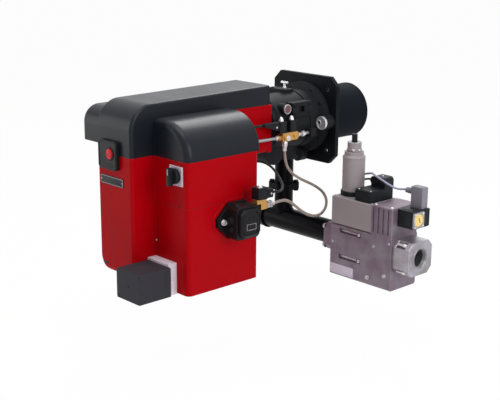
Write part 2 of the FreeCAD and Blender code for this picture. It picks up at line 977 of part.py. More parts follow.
def housing_form(name, y, inset, top_extra):
    body = new_body(name)
    pad(body, "XZ", y, housing_outline(inset, top_extra))
    low = d.body_low_z + inset
    front = d.scroll_front_x - inset
    rear = d.body_rear_x + inset
    dress(body, "Fillet", d.scroll_round - inset, lambda edge: along(edge, "Y")
          and near(edge, x=front, z=low))
    dress(body, "Fillet", d.rear_round - inset, lambda edge: along(edge, "Y")
          and near(edge, x=rear, z=low))
    dress(body, "Fillet", d.neck_round + inset, lambda edge: along(edge, "Y")
          and near(edge, x=front, z=d.duct_low_z + inset))
    return body


def left_form(name, inset, top_extra):
    # The left half: the side outline within an end outline with a softly rounded lower edge.
    left = d.body_left_y - inset
    low = d.body_low_z + inset
    side = housing_form(name + "Side", (d.seam_y, left), inset, top_extra)
    x = (d.body_rear_x + inset, d.head_rear_x - inset)
    core = box(name + "Core", x, (d.seam_y, left), (low, d.duct_top_z + top_extra))
    end = softened(name + "End", core, d.side_round - inset, lambda edge: along(edge, "X")
                   and near(edge, y=left, z=low))
    return common(name, side, end)


def main_housing():
    wall = d.body_wall
    extra = d.body_wall * 2
    frame_x = (d.head_rear_x - d.front_frame, d.head_rear_x)
    frame_z = (d.duct_low_z, d.duct_top_z)
    air = rod("FrontAirHole", "X", (0, 0), frame_x, d.air_hole_r)
    axis = (d.axis_x, d.axis_z)

    outer = housing_form("RightOuter", (d.body_right_y, d.seam_y), 0, 0)
    dress(outer, "Fillet", d.hood_edge, lambda edge: along(edge, "Z")
          and near(edge, x=d.body_rear_x, y=d.body_right_y))
    inner = housing_form("RightInner", (d.body_right_y + wall, d.seam_y), wall, extra)
    shell = cut("RightShell", outer, inner)
    frame = box("RightFrame", frame_x, (d.body_right_y, d.seam_y), frame_z)
    solid = fuse("RightSolid", shell, frame)
    eye = rod("FanEye", "Y", axis, (d.body_right_y, d.body_right_y + wall), d.eye_r)
    keep(cut("main_housing_right", solid, air, eye), "main_housing_right")

    shell = cut("LeftShell", left_form("LeftOuter", 0, 0), left_form("LeftInner", wall, extra))
    frame = box("LeftFrame", frame_x, (d.seam_y, d.body_left_y), frame_z)
    solid = fuse("LeftSolid", shell, frame)
    hole = rod("ShaftHole", "Y", axis, (d.body_left_y - wall, d.body_left_y), d.shaft_hole_r)
    keep(cut("main_housing_left", solid, air, hole), "main_housing_left")


def fan_wheel():
    # A blower wheel with forward-curved blades between a back plate and a rim.
    body = new_body("fan_wheel")
    left = d.fan_left_y
    plate = left - d.fan_plate
    profile = [
        (left, d.shaft_r),
        (left, d.fan_r),
        (plate, d.fan_r),
        (plate, d.fan_hub_r),
        (left - d.fan_hub_long, d.fan_hub_r),
        (left - d.fan_hub_long, d.shaft_r),
    ]
    turned(body, "Y", (0, 0), profile)
    mid_r = (d.fan_inner_r + d.fan_r) / 2
    lean = (d.fan_r - d.fan_inner_r) / 3
    back = d.blade_thick
    rim_r = d.fan_r - d.blade_thick
    blade = [
        (d.fan_inner_r, -back / 2),
        (mid_r, lean / 2 - back / 2),
        (rim_r, lean * 2 - back / 2),
        (rim_r, lean * 2 + back / 2),
        (mid_r, lean / 2 + back / 2),
        (d.fan_inner_r, back / 2),
    ]
    vane = pad(body, "XZ", (d.fan_right_y, plate), blade)
    repeat(body, [vane], "Y", d.blade_count)
    doc.recompute()
    rim = [
        (d.fan_right_y, d.fan_inner_r + d.blade_thick * 3),
        (d.fan_right_y, d.fan_r),
        (d.fan_right_y + d.fan_plate, d.fan_r),
        (d.fan_right_y + d.fan_plate, d.fan_inner_r + d.blade_thick * 3),
    ]
    turned(body, "Y", (0, 0), rim)
    bind(body, "Placement.Base.x", d.axis_x)
    bind(body, "Placement.Base.z", d.axis_z)
    keep(body, "fan_wheel")


def shaft_right_y():
    return d.fan_left_y - d.fan_hub_long


def drive_line():
    axis = (d.axis_x, d.axis_z)
    bearing = d.body_left_y + d.motor_long / 2
    span = (shaft_right_y(), bearing - d.slide_gap)
    keep(rod("motor_shaft", "Y", axis, span, d.shaft_r), "motor_shaft")
    stub = d.box_side_y - d.pump_flange / 2
    profile = [
        (shaft_right_y(), 0),
        (shaft_right_y(), d.coupling_r),
        (d.coupling_rear_y, d.coupling_r),
        (d.coupling_rear_y, d.shaft_r),
        (stub, d.shaft_r),
        (stub, 0),
    ]
    keep(lathe("pump_coupling", "Y", axis, profile), "pump_coupling")


def fan_motor():
    # The motor's flange, ribbed frame and domed end, on the burner's left side.
    body = new_body("fan_motor")
    start = d.body_left_y
    end = start + d.motor_long
    bearing = start + d.motor_long / 2
    bore = d.shaft_r + d.run_gap
    profile = [
        (start, bore),
        (start, d.motor_flange_r),
        (start + d.motor_flange, d.motor_flange_r),
        (start + d.motor_flange, d.motor_r),
        (end, d.motor_r),
        (end + d.motor_dome, d.motor_r - d.motor_dome),
        (end + d.motor_dome, 0),
        (bearing, 0),
        (bearing, bore),
    ]
    turned(body, "Y", (0, 0), profile)
    half = d.motor_fin / 4
    fin = [
        (-half, d.motor_r - d.motor_fin),
        (half, d.motor_r - d.motor_fin),
        (half, d.motor_r + d.motor_fin),
        (-half, d.motor_r + d.motor_fin),
    ]
    rib = pad(body, "XZ", (start + d.motor_flange, end), fin)
    repeat(body, [rib], "Y", d.fin_count)
    bind(body, "Placement.Base.x", d.axis_x)
    bind(body, "Placement.Base.z", d.axis_z)
    keep(body, "fan_motor")


def hood_main_form(name, inset, bottom_extra):
    # The long top hood; inset is the wall taken off.
    body = new_body(name)
    low = d.duct_top_z - bottom_extra
    rear_low = d.rear_top_z - bottom_extra
    rear = d.body_rear_x + inset
    rear_top = d.hood_rear_top_z - inset
    side = [
        (d.hood_front_x - inset, low),
        (d.hood_front_x - inset, d.hood_top_z - inset),
        (rear, rear_top),
        (rear, rear_low),
        (d.step_x - inset, rear_low),
        (d.step_x - inset, low),
    ]
    pad(body, "XZ", (d.body_right_y + inset, d.body_left_y - inset), side)
    dress(body, "Fillet", d.hood_round - inset, lambda edge: along(edge, "Y")
          and near(edge, x=rear, z=rear_top))
    return body


def lobe_form(name, inset, bottom_extra):
    # The lobe on the hood's left side, a little ahead of the hood's rear face.
    body = new_body(name)
    low = d.lobe_low_z - bottom_extra
    top = d.lobe_top_z - inset
    front = d.lobe_front_x - inset
    rear = d.body_rear_x + d.hood_wall + inset
    pad(
        body,
        "XZ",
        (d.body_left_y - inset - d.hood_wall, d.lobe_y - inset),
        [(front, low), (front, top), (rear, top), (rear, low)],
    )
    dress(body, "Fillet", d.lobe_round - inset, lambda edge: along(edge, "Y")
          and near(edge, x=rear, z=top))
    return body


def main_hood():
    deep = d.hood_wall * 2
    right = d.body_right_y
    outer = hood_main_form("HoodOuter", 0, 0)
    dress(outer, "Fillet", d.hood_edge, lambda edge: edge.BoundBox.YLength < 0.01
          and abs(edge.CenterOfMass.y - right) < 0.01
          and edge.BoundBox.ZMax > d.rear_top_z + d.hood_wall
          and (edge.CenterOfMass.z > d.duct_top_z + d.hood_wall or near(edge, x=d.body_rear_x))
          and not near(edge, x=d.hood_front_x))
    lobe = lobe_form("LobeOuter", 0, 0)
    left = d.lobe_y
    dress(lobe, "Fillet", d.lobe_edge, lambda edge: edge.BoundBox.YLength < 0.01
          and abs(edge.CenterOfMass.y - left) < 0.01
          and edge.CenterOfMass.z > d.lobe_low_z + d.hood_wall)
    inner = fuse("HoodRoom", hood_main_form("HoodInner", d.hood_wall, deep),
                 lobe_form("LobeInner", d.hood_wall, deep))
    keep(cut("main_hood", fuse("HoodSolid", outer, lobe), inner), "main_hood")


def control_unit():
    # The electrical base under the hood's lobe, on a bracket from the housing's side.
    inside = d.hood_wall * 3
    front = d.lobe_front_x - inside
    x = (front - d.base_long, front)
    side = d.body_left_y + d.slide_gap
    outside = d.lobe_y - d.hood_wall
    top = d.lobe_low_z - d.slide_gap
    wall = box("BaseBracket", x, (side, side + d.base_thick), (d.duct_low_z, top))
    shelf = box("BaseShelf", x, (side, outside), (top - d.base_thick, top))
    relay_front = front - d.relay_gap
    relay_x = (relay_front - d.relay_long, relay_front)
    relay_y = (side + inside, outside - inside)
    relay = box("Relay", relay_x, relay_y, (top, top + d.relay_tall))
    keep(fuse("control_unit", wall, shelf, relay), "control_unit")


def hood_latch():
    rear = d.body_rear_x - d.slide_gap
    y = (d.latch_right_y, d.latch_left_y)
    plate = box("LatchPlate", (rear - d.latch_thick, rear), y, (d.latch_low_z, d.latch_high_z))
    rounded = softened("LatchRound", plate, d.latch_round, lambda edge: along(edge, "X"))
    centre = (d.lock_y, d.lock_z)
    hole = rod("LatchHole", "X", centre, (rear - d.latch_thick, rear), d.lock_stem_r + d.run_gap)
    keep(cut("hood_latch", rounded, hole), "hood_latch")
    face = rear - d.latch_thick - d.slide_gap
    profile = [
        (rear - d.slide_gap, 0),
        (rear - d.slide_gap, d.lock_stem_r),
        (face, d.lock_stem_r),
        (face, d.lock_r),
        (face - d.lock_head / 2, d.lock_r),
        (face - d.lock_head, d.lock_r * 0.75),
        (face - d.lock_head, 0),
    ]
    keep(lathe("lock_knob", "X", centre, profile), "lock_knob")


def diamond(grow):
    # Outline of the pump's four-sided flange about the drive axis.
    tip = d.pump_tip + grow
    half = d.pump_flange_half + grow
    point = d.pump_tip_half + grow / 3
    shoulder = d.pump_shoulder + grow / 3
    x = d.axis_x
    z = d.axis_z
    return [
        (x - tip, z - point),
        (x - shoulder, z - half),
        (x + shoulder, z - half),
        (x + tip, z - point),
        (x + tip, z + point),
        (x + shoulder, z + half),
        (x - shoulder, z + half),
        (x - tip, z + point),
    ]


def intake_box():
    wall = d.body_wall
    x = (d.box_rear_x, d.box_front_x)
    y = (d.box_side_y, d.body_right_y)
    inner_x = (d.box_rear_x + wall, d.box_front_x - wall)
    inner_y = (d.box_side_y + wall, d.body_right_y - wall)
    axis = (d.axis_x, d.axis_z)
    eye_span = (d.body_right_y - wall, d.body_right_y)
    flap = (d.flap_y, d.flap_z)

    core = box("LowerCore", x, y, (d.box_low_z, d.box_seam_z))
    outer = softened("LowerOuter", core, d.box_round, lambda edge: along(edge, "Z")
                     and near(edge, y=d.box_side_y))
    room = box("LowerRoom", inner_x, inner_y, (d.box_low_z, d.box_seam_z))
    rim = new_body("PumpRim")
    pad(rim, "XZ", (d.box_side_y - d.rim_proud, d.box_side_y), diamond(d.rim_wide))
    pocket(rim, "XZ", (d.box_side_y - d.rim_proud, d.box_side_y), diamond(d.slide_gap))
    shell = fuse("LowerWithRim", cut("LowerShell", outer, room), rim)
    eye = rod("LowerEye", "Y", axis, eye_span, d.eye_r)
    drive = rod("DriveHole", "Y", axis, (d.box_side_y, d.box_side_y + wall), d.coupling_r * 2)
    hinge_r = d.flap_shaft_r + d.run_gap
    holes = [
        rod("FlapHoleRear", "X", flap, (d.box_rear_x, d.box_rear_x + wall), hinge_r),
        rod("FlapHoleFront", "X", flap, (d.box_front_x - wall, d.box_front_x), hinge_r),
    ]
    keep(cut("intake_box_lower", shell, eye, drive, *holes), "intake_box_lower")

    core = box("UpperCore", x, y, (d.box_seam_z, d.rear_top_z))
    outer = softened("UpperOuter", core, d.box_round, lambda edge: along(edge, "Z")
                     and near(edge, y=d.box_side_y))
    room = box("UpperRoom", inner_x, inner_y, (d.box_seam_z, d.rear_top_z - wall))
    eye = rod("UpperEye", "Y", axis, eye_span, d.eye_r)
    keep(cut("intake_box_upper", cut("UpperShell", outer, room), eye), "intake_box_upper")


def damper():
    centre = (d.flap_y, d.flap_z)
    wall = d.body_wall
    inner = (d.box_rear_x + wall * 2, d.box_front_x - wall * 2)
    half = d.flap_thick / 2
    flap = box(
        "FlapPlate",
        inner,
        (d.flap_y - d.flap_half, d.flap_y + d.flap_half),
        (d.flap_z - half, d.flap_z + half),
    )
    end = d.box_rear_x - d.servo_plate * 2
    shaft = rod("FlapShaft", "X", centre, (end, d.box_front_x), d.flap_shaft_r)
    keep(fuse("damper_flap", flap, shaft), "damper_flap")


def servomotor():
    centre = (d.flap_y, d.flap_z)
    hole_r = d.flap_shaft_r + d.run_gap
    face = d.box_rear_x - d.servo_plate
    plate = box(
        "ServoPlateCore",
        (face, d.box_rear_x),
        (d.servo_plate_right, d.servo_left_y),
        (d.servo_low_z, d.servo_plate_top),
    )
    hole = rod("ServoPlateHole", "X", centre, (face, d.box_rear_x), hole_r)
    keep(cut("servo_plate", plate, hole), "servo_plate")
    core = box(
        "ServoCore",
        (face - d.servo_long, face),
        (d.servo_right_y, d.servo_left_y),
        (d.servo_low_z, d.servo_top_z),
    )
    soft = softened("ServoSoft", core, d.servo_round, lambda edge: along(edge, "X"))
    seat = rod("ServoSeat", "X", centre, (face - d.servo_plate - d.slide_gap, face), hole_r)
    keep(cut("servo_cover", soft, seat), "servo_cover")


def oil_pump():
    axis = (d.axis_x, d.axis_z)
    flange_y = (d.box_side_y - d.pump_flange, d.box_side_y)
    cover_y = (d.pump_face_y, d.pump_face_y + d.pump_cover)
    body = new_body("PumpBody")
    pad(body, "XZ", flange_y, diamond(0))
    form = octagon(axis, d.pump_half_x, d.pump_half_z, d.pump_cut)
    pad(body, "XZ", (cover_y[1], flange_y[0]), form)
    stub_span = (d.box_side_y - d.pump_flange / 2 - d.slide_gap, d.box_side_y)
    pocket(body, "XZ", stub_span, None, [(axis, d.shaft_r + d.run_gap)])
    floor = d.axis_z - d.pump_half_z
    middle_y = (cover_y[1] + flange_y[0]) / 2
    half = d.port_pitch / 2
    ports = [((d.axis_x + side * half, middle_y), d.port_r) for side in (-1, 1)]
    pocket(body, "XY", (floor, floor + d.port_deep), None, ports)
    keep(body, "oil_pump")

    lid = new_body("pump_cover")
    pad(lid, "XZ", cover_y, octagon(axis, d.cover_half_x, d.cover_half_z, d.cover_cut))
    dress(lid, "Chamfer", d.cover_cut / 3, lambda edge: near(edge, y=cover_y[0]))
    keep(lid, "pump_cover")

    bolts = []
    for side, name in ((-1, "Rear"), (1, "Front")):
        centre = (d.axis_x + side * d.pump_bolt, d.axis_z)
        head = (flange_y[0] - d.pump_bolt_head, flange_y[0])
        bolts.append(rod("PumpBolt" + name, "Y", centre, head, d.pump_bolt_r))
    keep(group("pump_bolts", *bolts), "pump_bolts")

    coil = box(
        "SolenoidCore",
        (d.solenoid_rear_x, d.solenoid_front_x),
        (d.solenoid_front_y, d.solenoid_back_y),
        (d.solenoid_low_z, d.solenoid_high_z),
    )
    soft = softened("SolenoidSoft", coil, d.solenoid_round, lambda edge: along(edge, "Z"))
    inset = d.connector_inset
    connector = box(
        "SolenoidConnector",
        (d.solenoid_front_x, d.solenoid_front_x + d.connector_long),
        (d.solenoid_front_y + inset, d.solenoid_back_y - inset),
        (d.solenoid_low_z, d.solenoid_low_z + d.connector_tall),
    )
    keep(fuse("pump_solenoid", soft, connector), "pump_solenoid")

    # the valve block that carries the coil, with its union towards the hose
    side = d.axis_x + d.pump_half_x
    top = d.axis_z + d.pump_half_z
    y = (d.fitting_y - d.fitting_half, d.fitting_y + d.fitting_half)
    front = d.solenoid_front_x + d.slide_gap
    saddle = box("FittingSaddle", (d.solenoid_rear_x, front), y, (top, d.solenoid_low_z))
    cheek = box("FittingCheek", (side, front), y, (d.fitting_z - d.fitting_r, top))
    at = (d.fitting_y, d.fitting_z)
    middle = front + d.fitting_long / 3
    end = front + d.fitting_long
    neck = rod("FittingNeck", "X", at, (front, middle), d.fitting_r)
    nut = rod("FittingNut", "X", at, (middle, end), d.fitting_nut_r)
    keep(fuse("pump_fitting", saddle, cheek, neck, nut), "pump_fitting")


def control_form(name, inset, bottom_extra):
    body = new_body(name)
    side = d.box_side_y + inset
    inner = d.body_right_y - d.slide_gap * 2 - inset
    top = d.control_top_z - inset
    low = d.rear_top_z - bottom_extra
    rear = d.box_rear_x + inset
    front = d.box_front_x - inset
    pad(body, "YZ", (rear, front), [(side, low), (inner, low), (inner, top), (side, top)])
    dress(body, "Fillet", d.control_round - inset, lambda edge: along(edge, "X")
          and near(edge, y=side, z=top))
    dress(body, "Fillet", d.control_rear_round - inset, lambda edge: near(edge, x=rear)
          and edge.BoundBox.ZMin > float(low) + 1 and edge.BoundBox.YLength > 10)
    return body


def control_hood():
    outer = control_form("ControlOuter", 0, 0)
    inner = control_form("ControlInner", d.hood_wall, d.hood_wall * 2)
    keep(cut("control_hood", outer, inner), "control_hood")


def selector():
    face = d.box_rear_x - d.selector_plate
    y = (d.selector_right_y, d.selector_left_y)
    z = (d.selector_low_z, d.selector_high_z)
    keep(box("selector_plate", (face, d.box_rear_x), y, z), "selector_plate")
    centre = ((y[0] + y[1]) / 2, (z[0] + z[1]) / 2)
    start = face - d.slide_gap
    disc_end = start - d.selector_head
    disc = rod("SelectorDisc", "X", centre, (disc_end, start), d.selector_r)
    grip_half = d.selector_r / 4
    long_half = d.selector_lever
    grip = box(
        "SelectorGrip",
        (disc_end - d.selector_grip, disc_end),
        (centre[0] - grip_half, centre[0] + grip_half),
        (centre[1] - long_half, centre[1] + long_half),
    )
    keep(fuse("selector_knob", disc, grip), "selector_knob")


def ear_place(out, aside):
    # A place on the pipe joint: out along its two ears, and aside from that line.
    turn = math.radians(float(d.joint_turn))
    ahead = math.cos(turn)
    across = math.sin(turn)
    return (d.riser_x + ahead * out + across * aside, ahead * aside - across * out)


def pipe_flange(name, low, high):
    # Oval flange with two bolt ears, in one pad with its bore and bolt holes.
    body = new_body(name)
    ear = d.joint_ear + d.joint_ear_r
    half = d.joint_half_x
    tip = d.joint_ear_r / 2
    corners = [
        ear_place(-ear, -tip),
        ear_place(-half / 2, -half),
        ear_place(half / 2, -half),
        ear_place(ear, -tip),
        ear_place(ear, tip),
        ear_place(half / 2, half),
        ear_place(-half / 2, half),
        ear_place(-ear, tip),
    ]
    bolt_r = d.joint_bolt_r + d.bolt_gap
    holes = [(ear_place(side * d.joint_ear, 0), bolt_r) for side in (-1, 1)]
    pad(body, "XY", (low, high), corners, holes + [((d.riser_x, 0), d.riser_bore_r)])
    return body


def gas_pipes():
    centre = (d.riser_x, 0)
    upper = d.joint_z + d.joint_thick
    lower = d.joint_z - d.joint_thick
    pipe = rod("RiserPipe", "Z", centre, (upper, d.riser_boss_z), d.riser_r)
    bore = rod("RiserBore", "Z", centre, (upper, d.riser_boss_z), d.riser_bore_r)
    flange = pipe_flange("RiserFlange", d.joint_z, upper)
    keep(fuse("gas_riser", cut("RiserTube", pipe, bore), flange), "gas_riser")

    bolts = []
    for side, name in ((-1, "Right"), (1, "Left")):
        at = ear_place(side * d.joint_ear, 0)
        head = rod("JointHead" + name, "Z", at, (upper, upper + d.joint_nut), d.joint_nut_r)
        nut = rod("JointNut" + name, "Z", at, (lower - d.joint_nut, lower), d.joint_nut_r)
        shank = rod("JointShank" + name, "Z", at, (lower, upper), d.joint_bolt_r)
        bolts.append(fuse("JointBolt" + name, head, nut, shank))
    keep(group("riser_bolts", *bolts), "riser_bolts")

    axis = (d.riser_x, d.manifold_z)
    span = (d.outlet_left_y, d.manifold_left_y)
    main = rod("ManifoldPipe", "Y", axis, span, d.manifold_r)
    stub = rod("ManifoldStub", "Z", centre, (d.manifold_z, lower), d.riser_r)
    outside = fuse("ManifoldSolid", main, stub)
    main_bore = rod("ManifoldBore", "Y", axis, span, d.manifold_bore_r)
    stub_bore = rod("StubBore", "Z", centre, (d.manifold_z, lower), d.riser_bore_r)
    tube = cut("ManifoldTube", outside, main_bore, stub_bore)
    lower_flange = pipe_flange("ManifoldFlange", lower, d.joint_z)
    keep(fuse("gas_manifold", tube, lower_flange), "gas_manifold")

    left = d.manifold_left_y
    end = left + d.cap_long
    bevel = d.cap_r / 8
    profile = [
        (left, 0),
        (left, d.cap_r),
        (end - bevel, d.cap_r),
        (end, d.cap_r - bevel),
        (end, 0),
    ]
    keep(lathe("manifold_cap", "Y", axis, profile), "manifold_cap")


def gas_valve():
    centre = (d.riser_x, d.manifold_z)
    flange = new_body("outlet_flange")
    form = octagon(centre, d.outlet_half_x, d.outlet_half_z, d.outlet_cut)
    bore = [(centre, d.manifold_bore_r)]
    pad(flange, "XZ", (d.valve_left_y, d.outlet_left_y), form, bore)
    keep(flange, "outlet_flange")

    body = new_body("ValveBlock")
    middle = ((d.valve_rear_x + d.valve_front_x) / 2, (d.valve_low_z + d.valve_top_z) / 2)
    half_x = (d.valve_front_x - d.valve_rear_x) / 2
    half_z = (d.valve_top_z - d.valve_low_z) / 2
    pad(body, "XZ", (d.valve_right_y, d.valve_left_y), octagon(middle, half_x, half_z, d.valve_cut))
    for z in (d.slot_high_z, d.slot_low_z):
        half = d.slot_tall / 2
        left = d.slot_left_y
        right = d.slot_right_y
        slot = [(right, z - half), (left, z - half), (left, z + half), (right, z + half)]
        pocket(body, "YZ", (d.valve_rear_x, d.valve_rear_x + d.slot_deep), slot)
    pocket(body, "XZ", (d.valve_left_y - d.inlet_deep, d.valve_left_y), None, [(centre, d.inlet_r)])
    column = box(
        "Column",
        (d.valve_rear_x, d.valve_front_x),
        (d.valve_right_y, d.column_left_y),
        (d.valve_top_z - d.valve_cut * 2, d.column_top_z),
    )
    soft = softened("ColumnSoft", column, d.rib_deep, lambda edge: near(edge, z=d.column_top_z)
                    or (along(edge, "Z") and near(edge, y=d.valve_right_y)))
    grooves = []
    for i in range(int(d.rib_count)):
        y = d.column_left_y - d.rib_wide - i * d.rib_pitch
        grooves.append(box(
            "Groove" + str(i),
            (d.valve_rear_x, d.valve_rear_x + d.rib_deep),
            (y - d.rib_wide, y),
            (d.valve_top_z + d.valve_cut, d.column_top_z - d.valve_cut),
        ))
    ribbed = cut("ColumnRibbed", soft, *grooves)
    throat_r = d.inlet_r - d.rib_deep
    throat = rod("ValveThroat", "Y", centre, (d.valve_right_y, d.valve_left_y), throat_r)
    keep(cut("valve_body", fuse("ValveSolid", body, ribbed), throat), "valve_body")

    lid = box(
        "CoverCore",
        (d.valve_rear_x, d.valve_front_x),
        (d.column_left_y, d.cover_left_y),
        (d.valve_top_z, d.cover_top_z),
    )
    soft = softened("CoverSoft", lid, d.cover_round, lambda edge: near(edge, z=d.cover_top_z)
                    or (along(edge, "Z") and near(edge, y=d.cover_left_y)))
    glands = []
    for y, name in ((d.black_gland_y, "Black"), (d.grey_gland_y, "Grey")):
        span = (d.cover_top_z, d.cover_top_z + d.gland_tall)
        glands.append(rod("Gland" + name, "Z", (d.gland_x, y), span, d.gland_r))
    keep(fuse("valve_cover", soft, *glands), "valve_cover")

    inlet = new_body("inlet_flange")
    centre = (d.riser_x, d.inlet_z)
    form = octagon(centre, d.inlet_half_x, d.inlet_half_z, d.inlet_cut)
    bore = [(centre, d.inlet_r)]
    pad(inlet, "XZ", (d.inlet_right_y, d.valve_right_y), form, bore)
    room = d.inlet_cut
    gap = (d.inlet_right_y + d.inlet_face, d.inlet_right_y + d.inlet_face + d.inlet_screw_long)
    for side in (-1, 1):
        outer = d.riser_x + side * d.inlet_half_x
        inside = d.riser_x + side * (d.inlet_half_x - room)
        for top in (-1, 1):
            edge_z = d.inlet_z + top * d.inlet_half_z
            inner_z = d.inlet_z + top * (d.inlet_half_z - room)
            notch = [(outer, edge_z), (inside, edge_z), (inside, inner_z), (outer, inner_z)]
            pocket(inlet, "XZ", gap, notch)
    keep(inlet, "inlet_flange")

    screws = []
    for side, a in ((-1, "Rear"), (1, "Front")):
        for top, b in ((-1, "Low"), (1, "High")):
            at = (d.riser_x + side * d.inlet_screw_x, d.inlet_z + top * d.inlet_screw_z)
            name = "ValveScrew" + a + b
            screws.append(rod(name, "Y", at, (gap[0], gap[1]), d.inlet_screw_r))
    keep(group("valve_screws", *screws), "valve_screws")


def regulator_tower():
    centre = (d.tower_x, d.tower_y)
    ring_top = d.cover_top_z + d.tower_ring
    keep(rod("tower_base", "Z", centre, (d.cover_top_z, ring_top), d.tower_ring_r), "tower_base")
    step = d.tower_r - d.shoulder_r
    profile = [
        (ring_top, 0),
        (ring_top, d.tower_r),
        (d.tower_top_z, d.tower_r),
        (d.tower_top_z + step, d.shoulder_r),
        (d.shoulder_top_z, d.shoulder_r),
        (d.shoulder_top_z, d.tower_cap_r),
        (d.tower_cap_z, d.tower_cap_r),
        (d.tower_cap_z, d.tower_knob_r + d.slide_gap),
        (d.tower_cap_z - d.tower_knob_r, d.tower_knob_r + d.slide_gap),
        (d.tower_cap_z - d.tower_knob_r, 0),
    ]
    keep(lathe("tower_can", "Z", centre, profile), "tower_can")
    start = d.tower_cap_z - d.tower_knob_r + d.slide_gap
    bevel = d.tower_knob_r / 4
    knob = [
        (start, 0),
        (start, d.tower_knob_r),
        (d.tower_knob_z - bevel, d.tower_knob_r),
        (d.tower_knob_z, d.tower_knob_r - bevel),
        (d.tower_knob_z, 0),
    ]
    keep(lathe("tower_knob", "Z", centre, knob), "tower_knob")


def valve_plugs():
    top = d.cover_top_z + d.valve_plug_tall
    low = box(
        "ValvePlugCore",
        (d.valve_plug_rear_x, d.valve_plug_front_x),
        (d.valve_plug_right_y, d.valve_plug_left_y),
        (d.cover_top_z, top),
    )
    soft = softened("valve_plug", low, d.cover_round, lambda edge: along(edge, "Z"))
    keep(soft, "valve_plug")
    head = box(
        "RearPlugCore",
        (d.rear_plug_x, d.valve_plug_front_x),
        (d.valve_plug_right_y, d.rear_plug_left_y),
        (top, d.rear_plug_top_z),
    )
    rounded = softened("RearPlugSoft", head, d.cover_round * 3, lambda edge: along(edge, "X")
                       and near(edge, z=d.rear_plug_top_z))
    left = d.rear_plug_left_y
    span = (left, left + d.rear_nose_long)
    nose = rod("RearNose", "Y", (d.rear_nose_x, d.rear_nose_z), span, d.rear_nose_r)
    keep(fuse("rear_plug", rounded, nose), "rear_plug")


def pressure_switch():
    y = (d.switch_right_y, d.valve_right_y)
    z = (d.switch_low_z, d.switch_top_z)
    core = box("SwitchCore", (d.switch_rear_x, d.switch_front_x), y, z)
    soft = softened("SwitchSoft", core, d.cover_round, lambda edge: along(edge, "Y"))
    room_r = d.dial_stem_r + d.run_gap
    seat = rod("DialHole", "Y", (d.dial_x, d.dial_z), (y[0], y[0] + d.dial_thick * 2), room_r)
    keep(cut("pressure_switch", soft, seat), "pressure_switch")
    half = d.window_wide / 2
    frame = box(
        "WindowCore",
        (d.dial_x - half, d.dial_x + half),
        (y[0] - d.window_thick, y[0]),
        (d.dial_z - half, d.dial_z + half),
    )
    hole_r = d.dial_r + d.slide_gap * 2
    hole = rod("WindowHole", "Y", (d.dial_x, d.dial_z), (y[0] - d.window_thick, y[0]), hole_r)
    keep(cut("switch_window", frame, hole), "switch_window")
    start = y[0] - d.slide_gap
    face = start - d.dial_thick
    bevel = d.dial_r / 8
    profile = [
        (start + d.dial_thick * 2, 0),
        (start + d.dial_thick * 2, d.dial_stem_r),
        (start, d.dial_stem_r),
        (start, d.dial_r),
        (face + bevel, d.dial_r),
        (face, d.dial_r - bevel),
        (face, 0),
    ]
    keep(lathe("switch_dial", "Y", (d.dial_x, d.dial_z), profile), "switch_dial")
    plug = box(
        "GreyPlugCore",
        (d.grey_plug_x, d.grey_plug_front_x),
        (d.grey_plug_right_y, d.grey_plug_left_y),
        (d.switch_top_z, d.grey_plug_top_z),
    )
    soft = softened("GreyPlugSoft", plug, d.cover_round, lambda edge: along(edge, "Z"))
    left = d.grey_plug_left_y
    nose_x = (d.grey_plug_x + d.grey_plug_front_x) / 2
    span = (left - d.cover_round, left + d.grey_nose_long)
    nose = rod("GreyNose", "Y", (nose_x, d.grey_nose_z), span, d.grey_nose_r)
    keep(fuse("grey_plug", soft, nose), "grey_plug")


# Hose and cables: points chosen by hand along each route, millimetres

hose_route = [
    (-346.5, -222, -134),
    (-331, -222, -134),
    (-308, -215, -136),
    (-282, -204, -141),
    (-256, -193, -151.5),
    (-231, -186, -167),
    (-206, -179, -184),
    (-180, -173, -199),
    (-153, -167, -211),
    (-125, -161, -217.5),
    (-100, -154.5, -216.5),
    (-79, -147.5, -207),
    (-67.5, -139.5, -190),
    (-71.5, -130, -171),
    (-87, -122, -156.5),
    (-107, -113, -144),
    (-128, -104, -133),
    (-147, -95.5, -119),
    (-160.5, -87.5, -101),
    (-164.5, -82, -72),
    (-164.5, -82, -50.2),
]

grey_route = [
    (-64, -393, -117),
    (-64, -381, -117),
    (-66.5, -369.5, -119.5),
    (-72, -358, -116.5),
    (-78.5, -346, -110),
    (-82, -330.5, -102.5),
    (-82.5, -313, -96.5),
    (-78, -297.5, -93),
    (-67.5, -285.5, -94.5),
    (-56, -276, -98.5),
    (-48.5, -263, -102.5),
    (-46, -249, -106),
    (-46, -234, -112),
    (-46, -220, -127.5),
    (-46, -220, -145.5),
]

black_route = [
    (-52, -276, -115),
    (-52, -267, -115),
    (-50, -256, -117.5),
    (-47, -245.5, -120.5),
    (-46, -236.8, -126.3),
    (-46, -231.5, -135.5),
    (-46, -231.5, -145.5),
]

solenoid_route = [
    (-349.5, -223, -107),
    (-334, -223, -107),
    (-314, -217.5, -112),
    (-293.5, -206, -111),
    (-278, -190.5, -106),
    (-268, -171.5, -97.5),
    (-261.5, -151, -86.5),
    (-256.5, -129, -76.5),
    (-257.5, -106, -70),
    (-263, -84, -70),
    (-275.5, -67, -75),
    (-293, -56, -83),
    (-313, -51, -91),
    (-330, -50, -95),
    (-344.8, -50, -95),
]


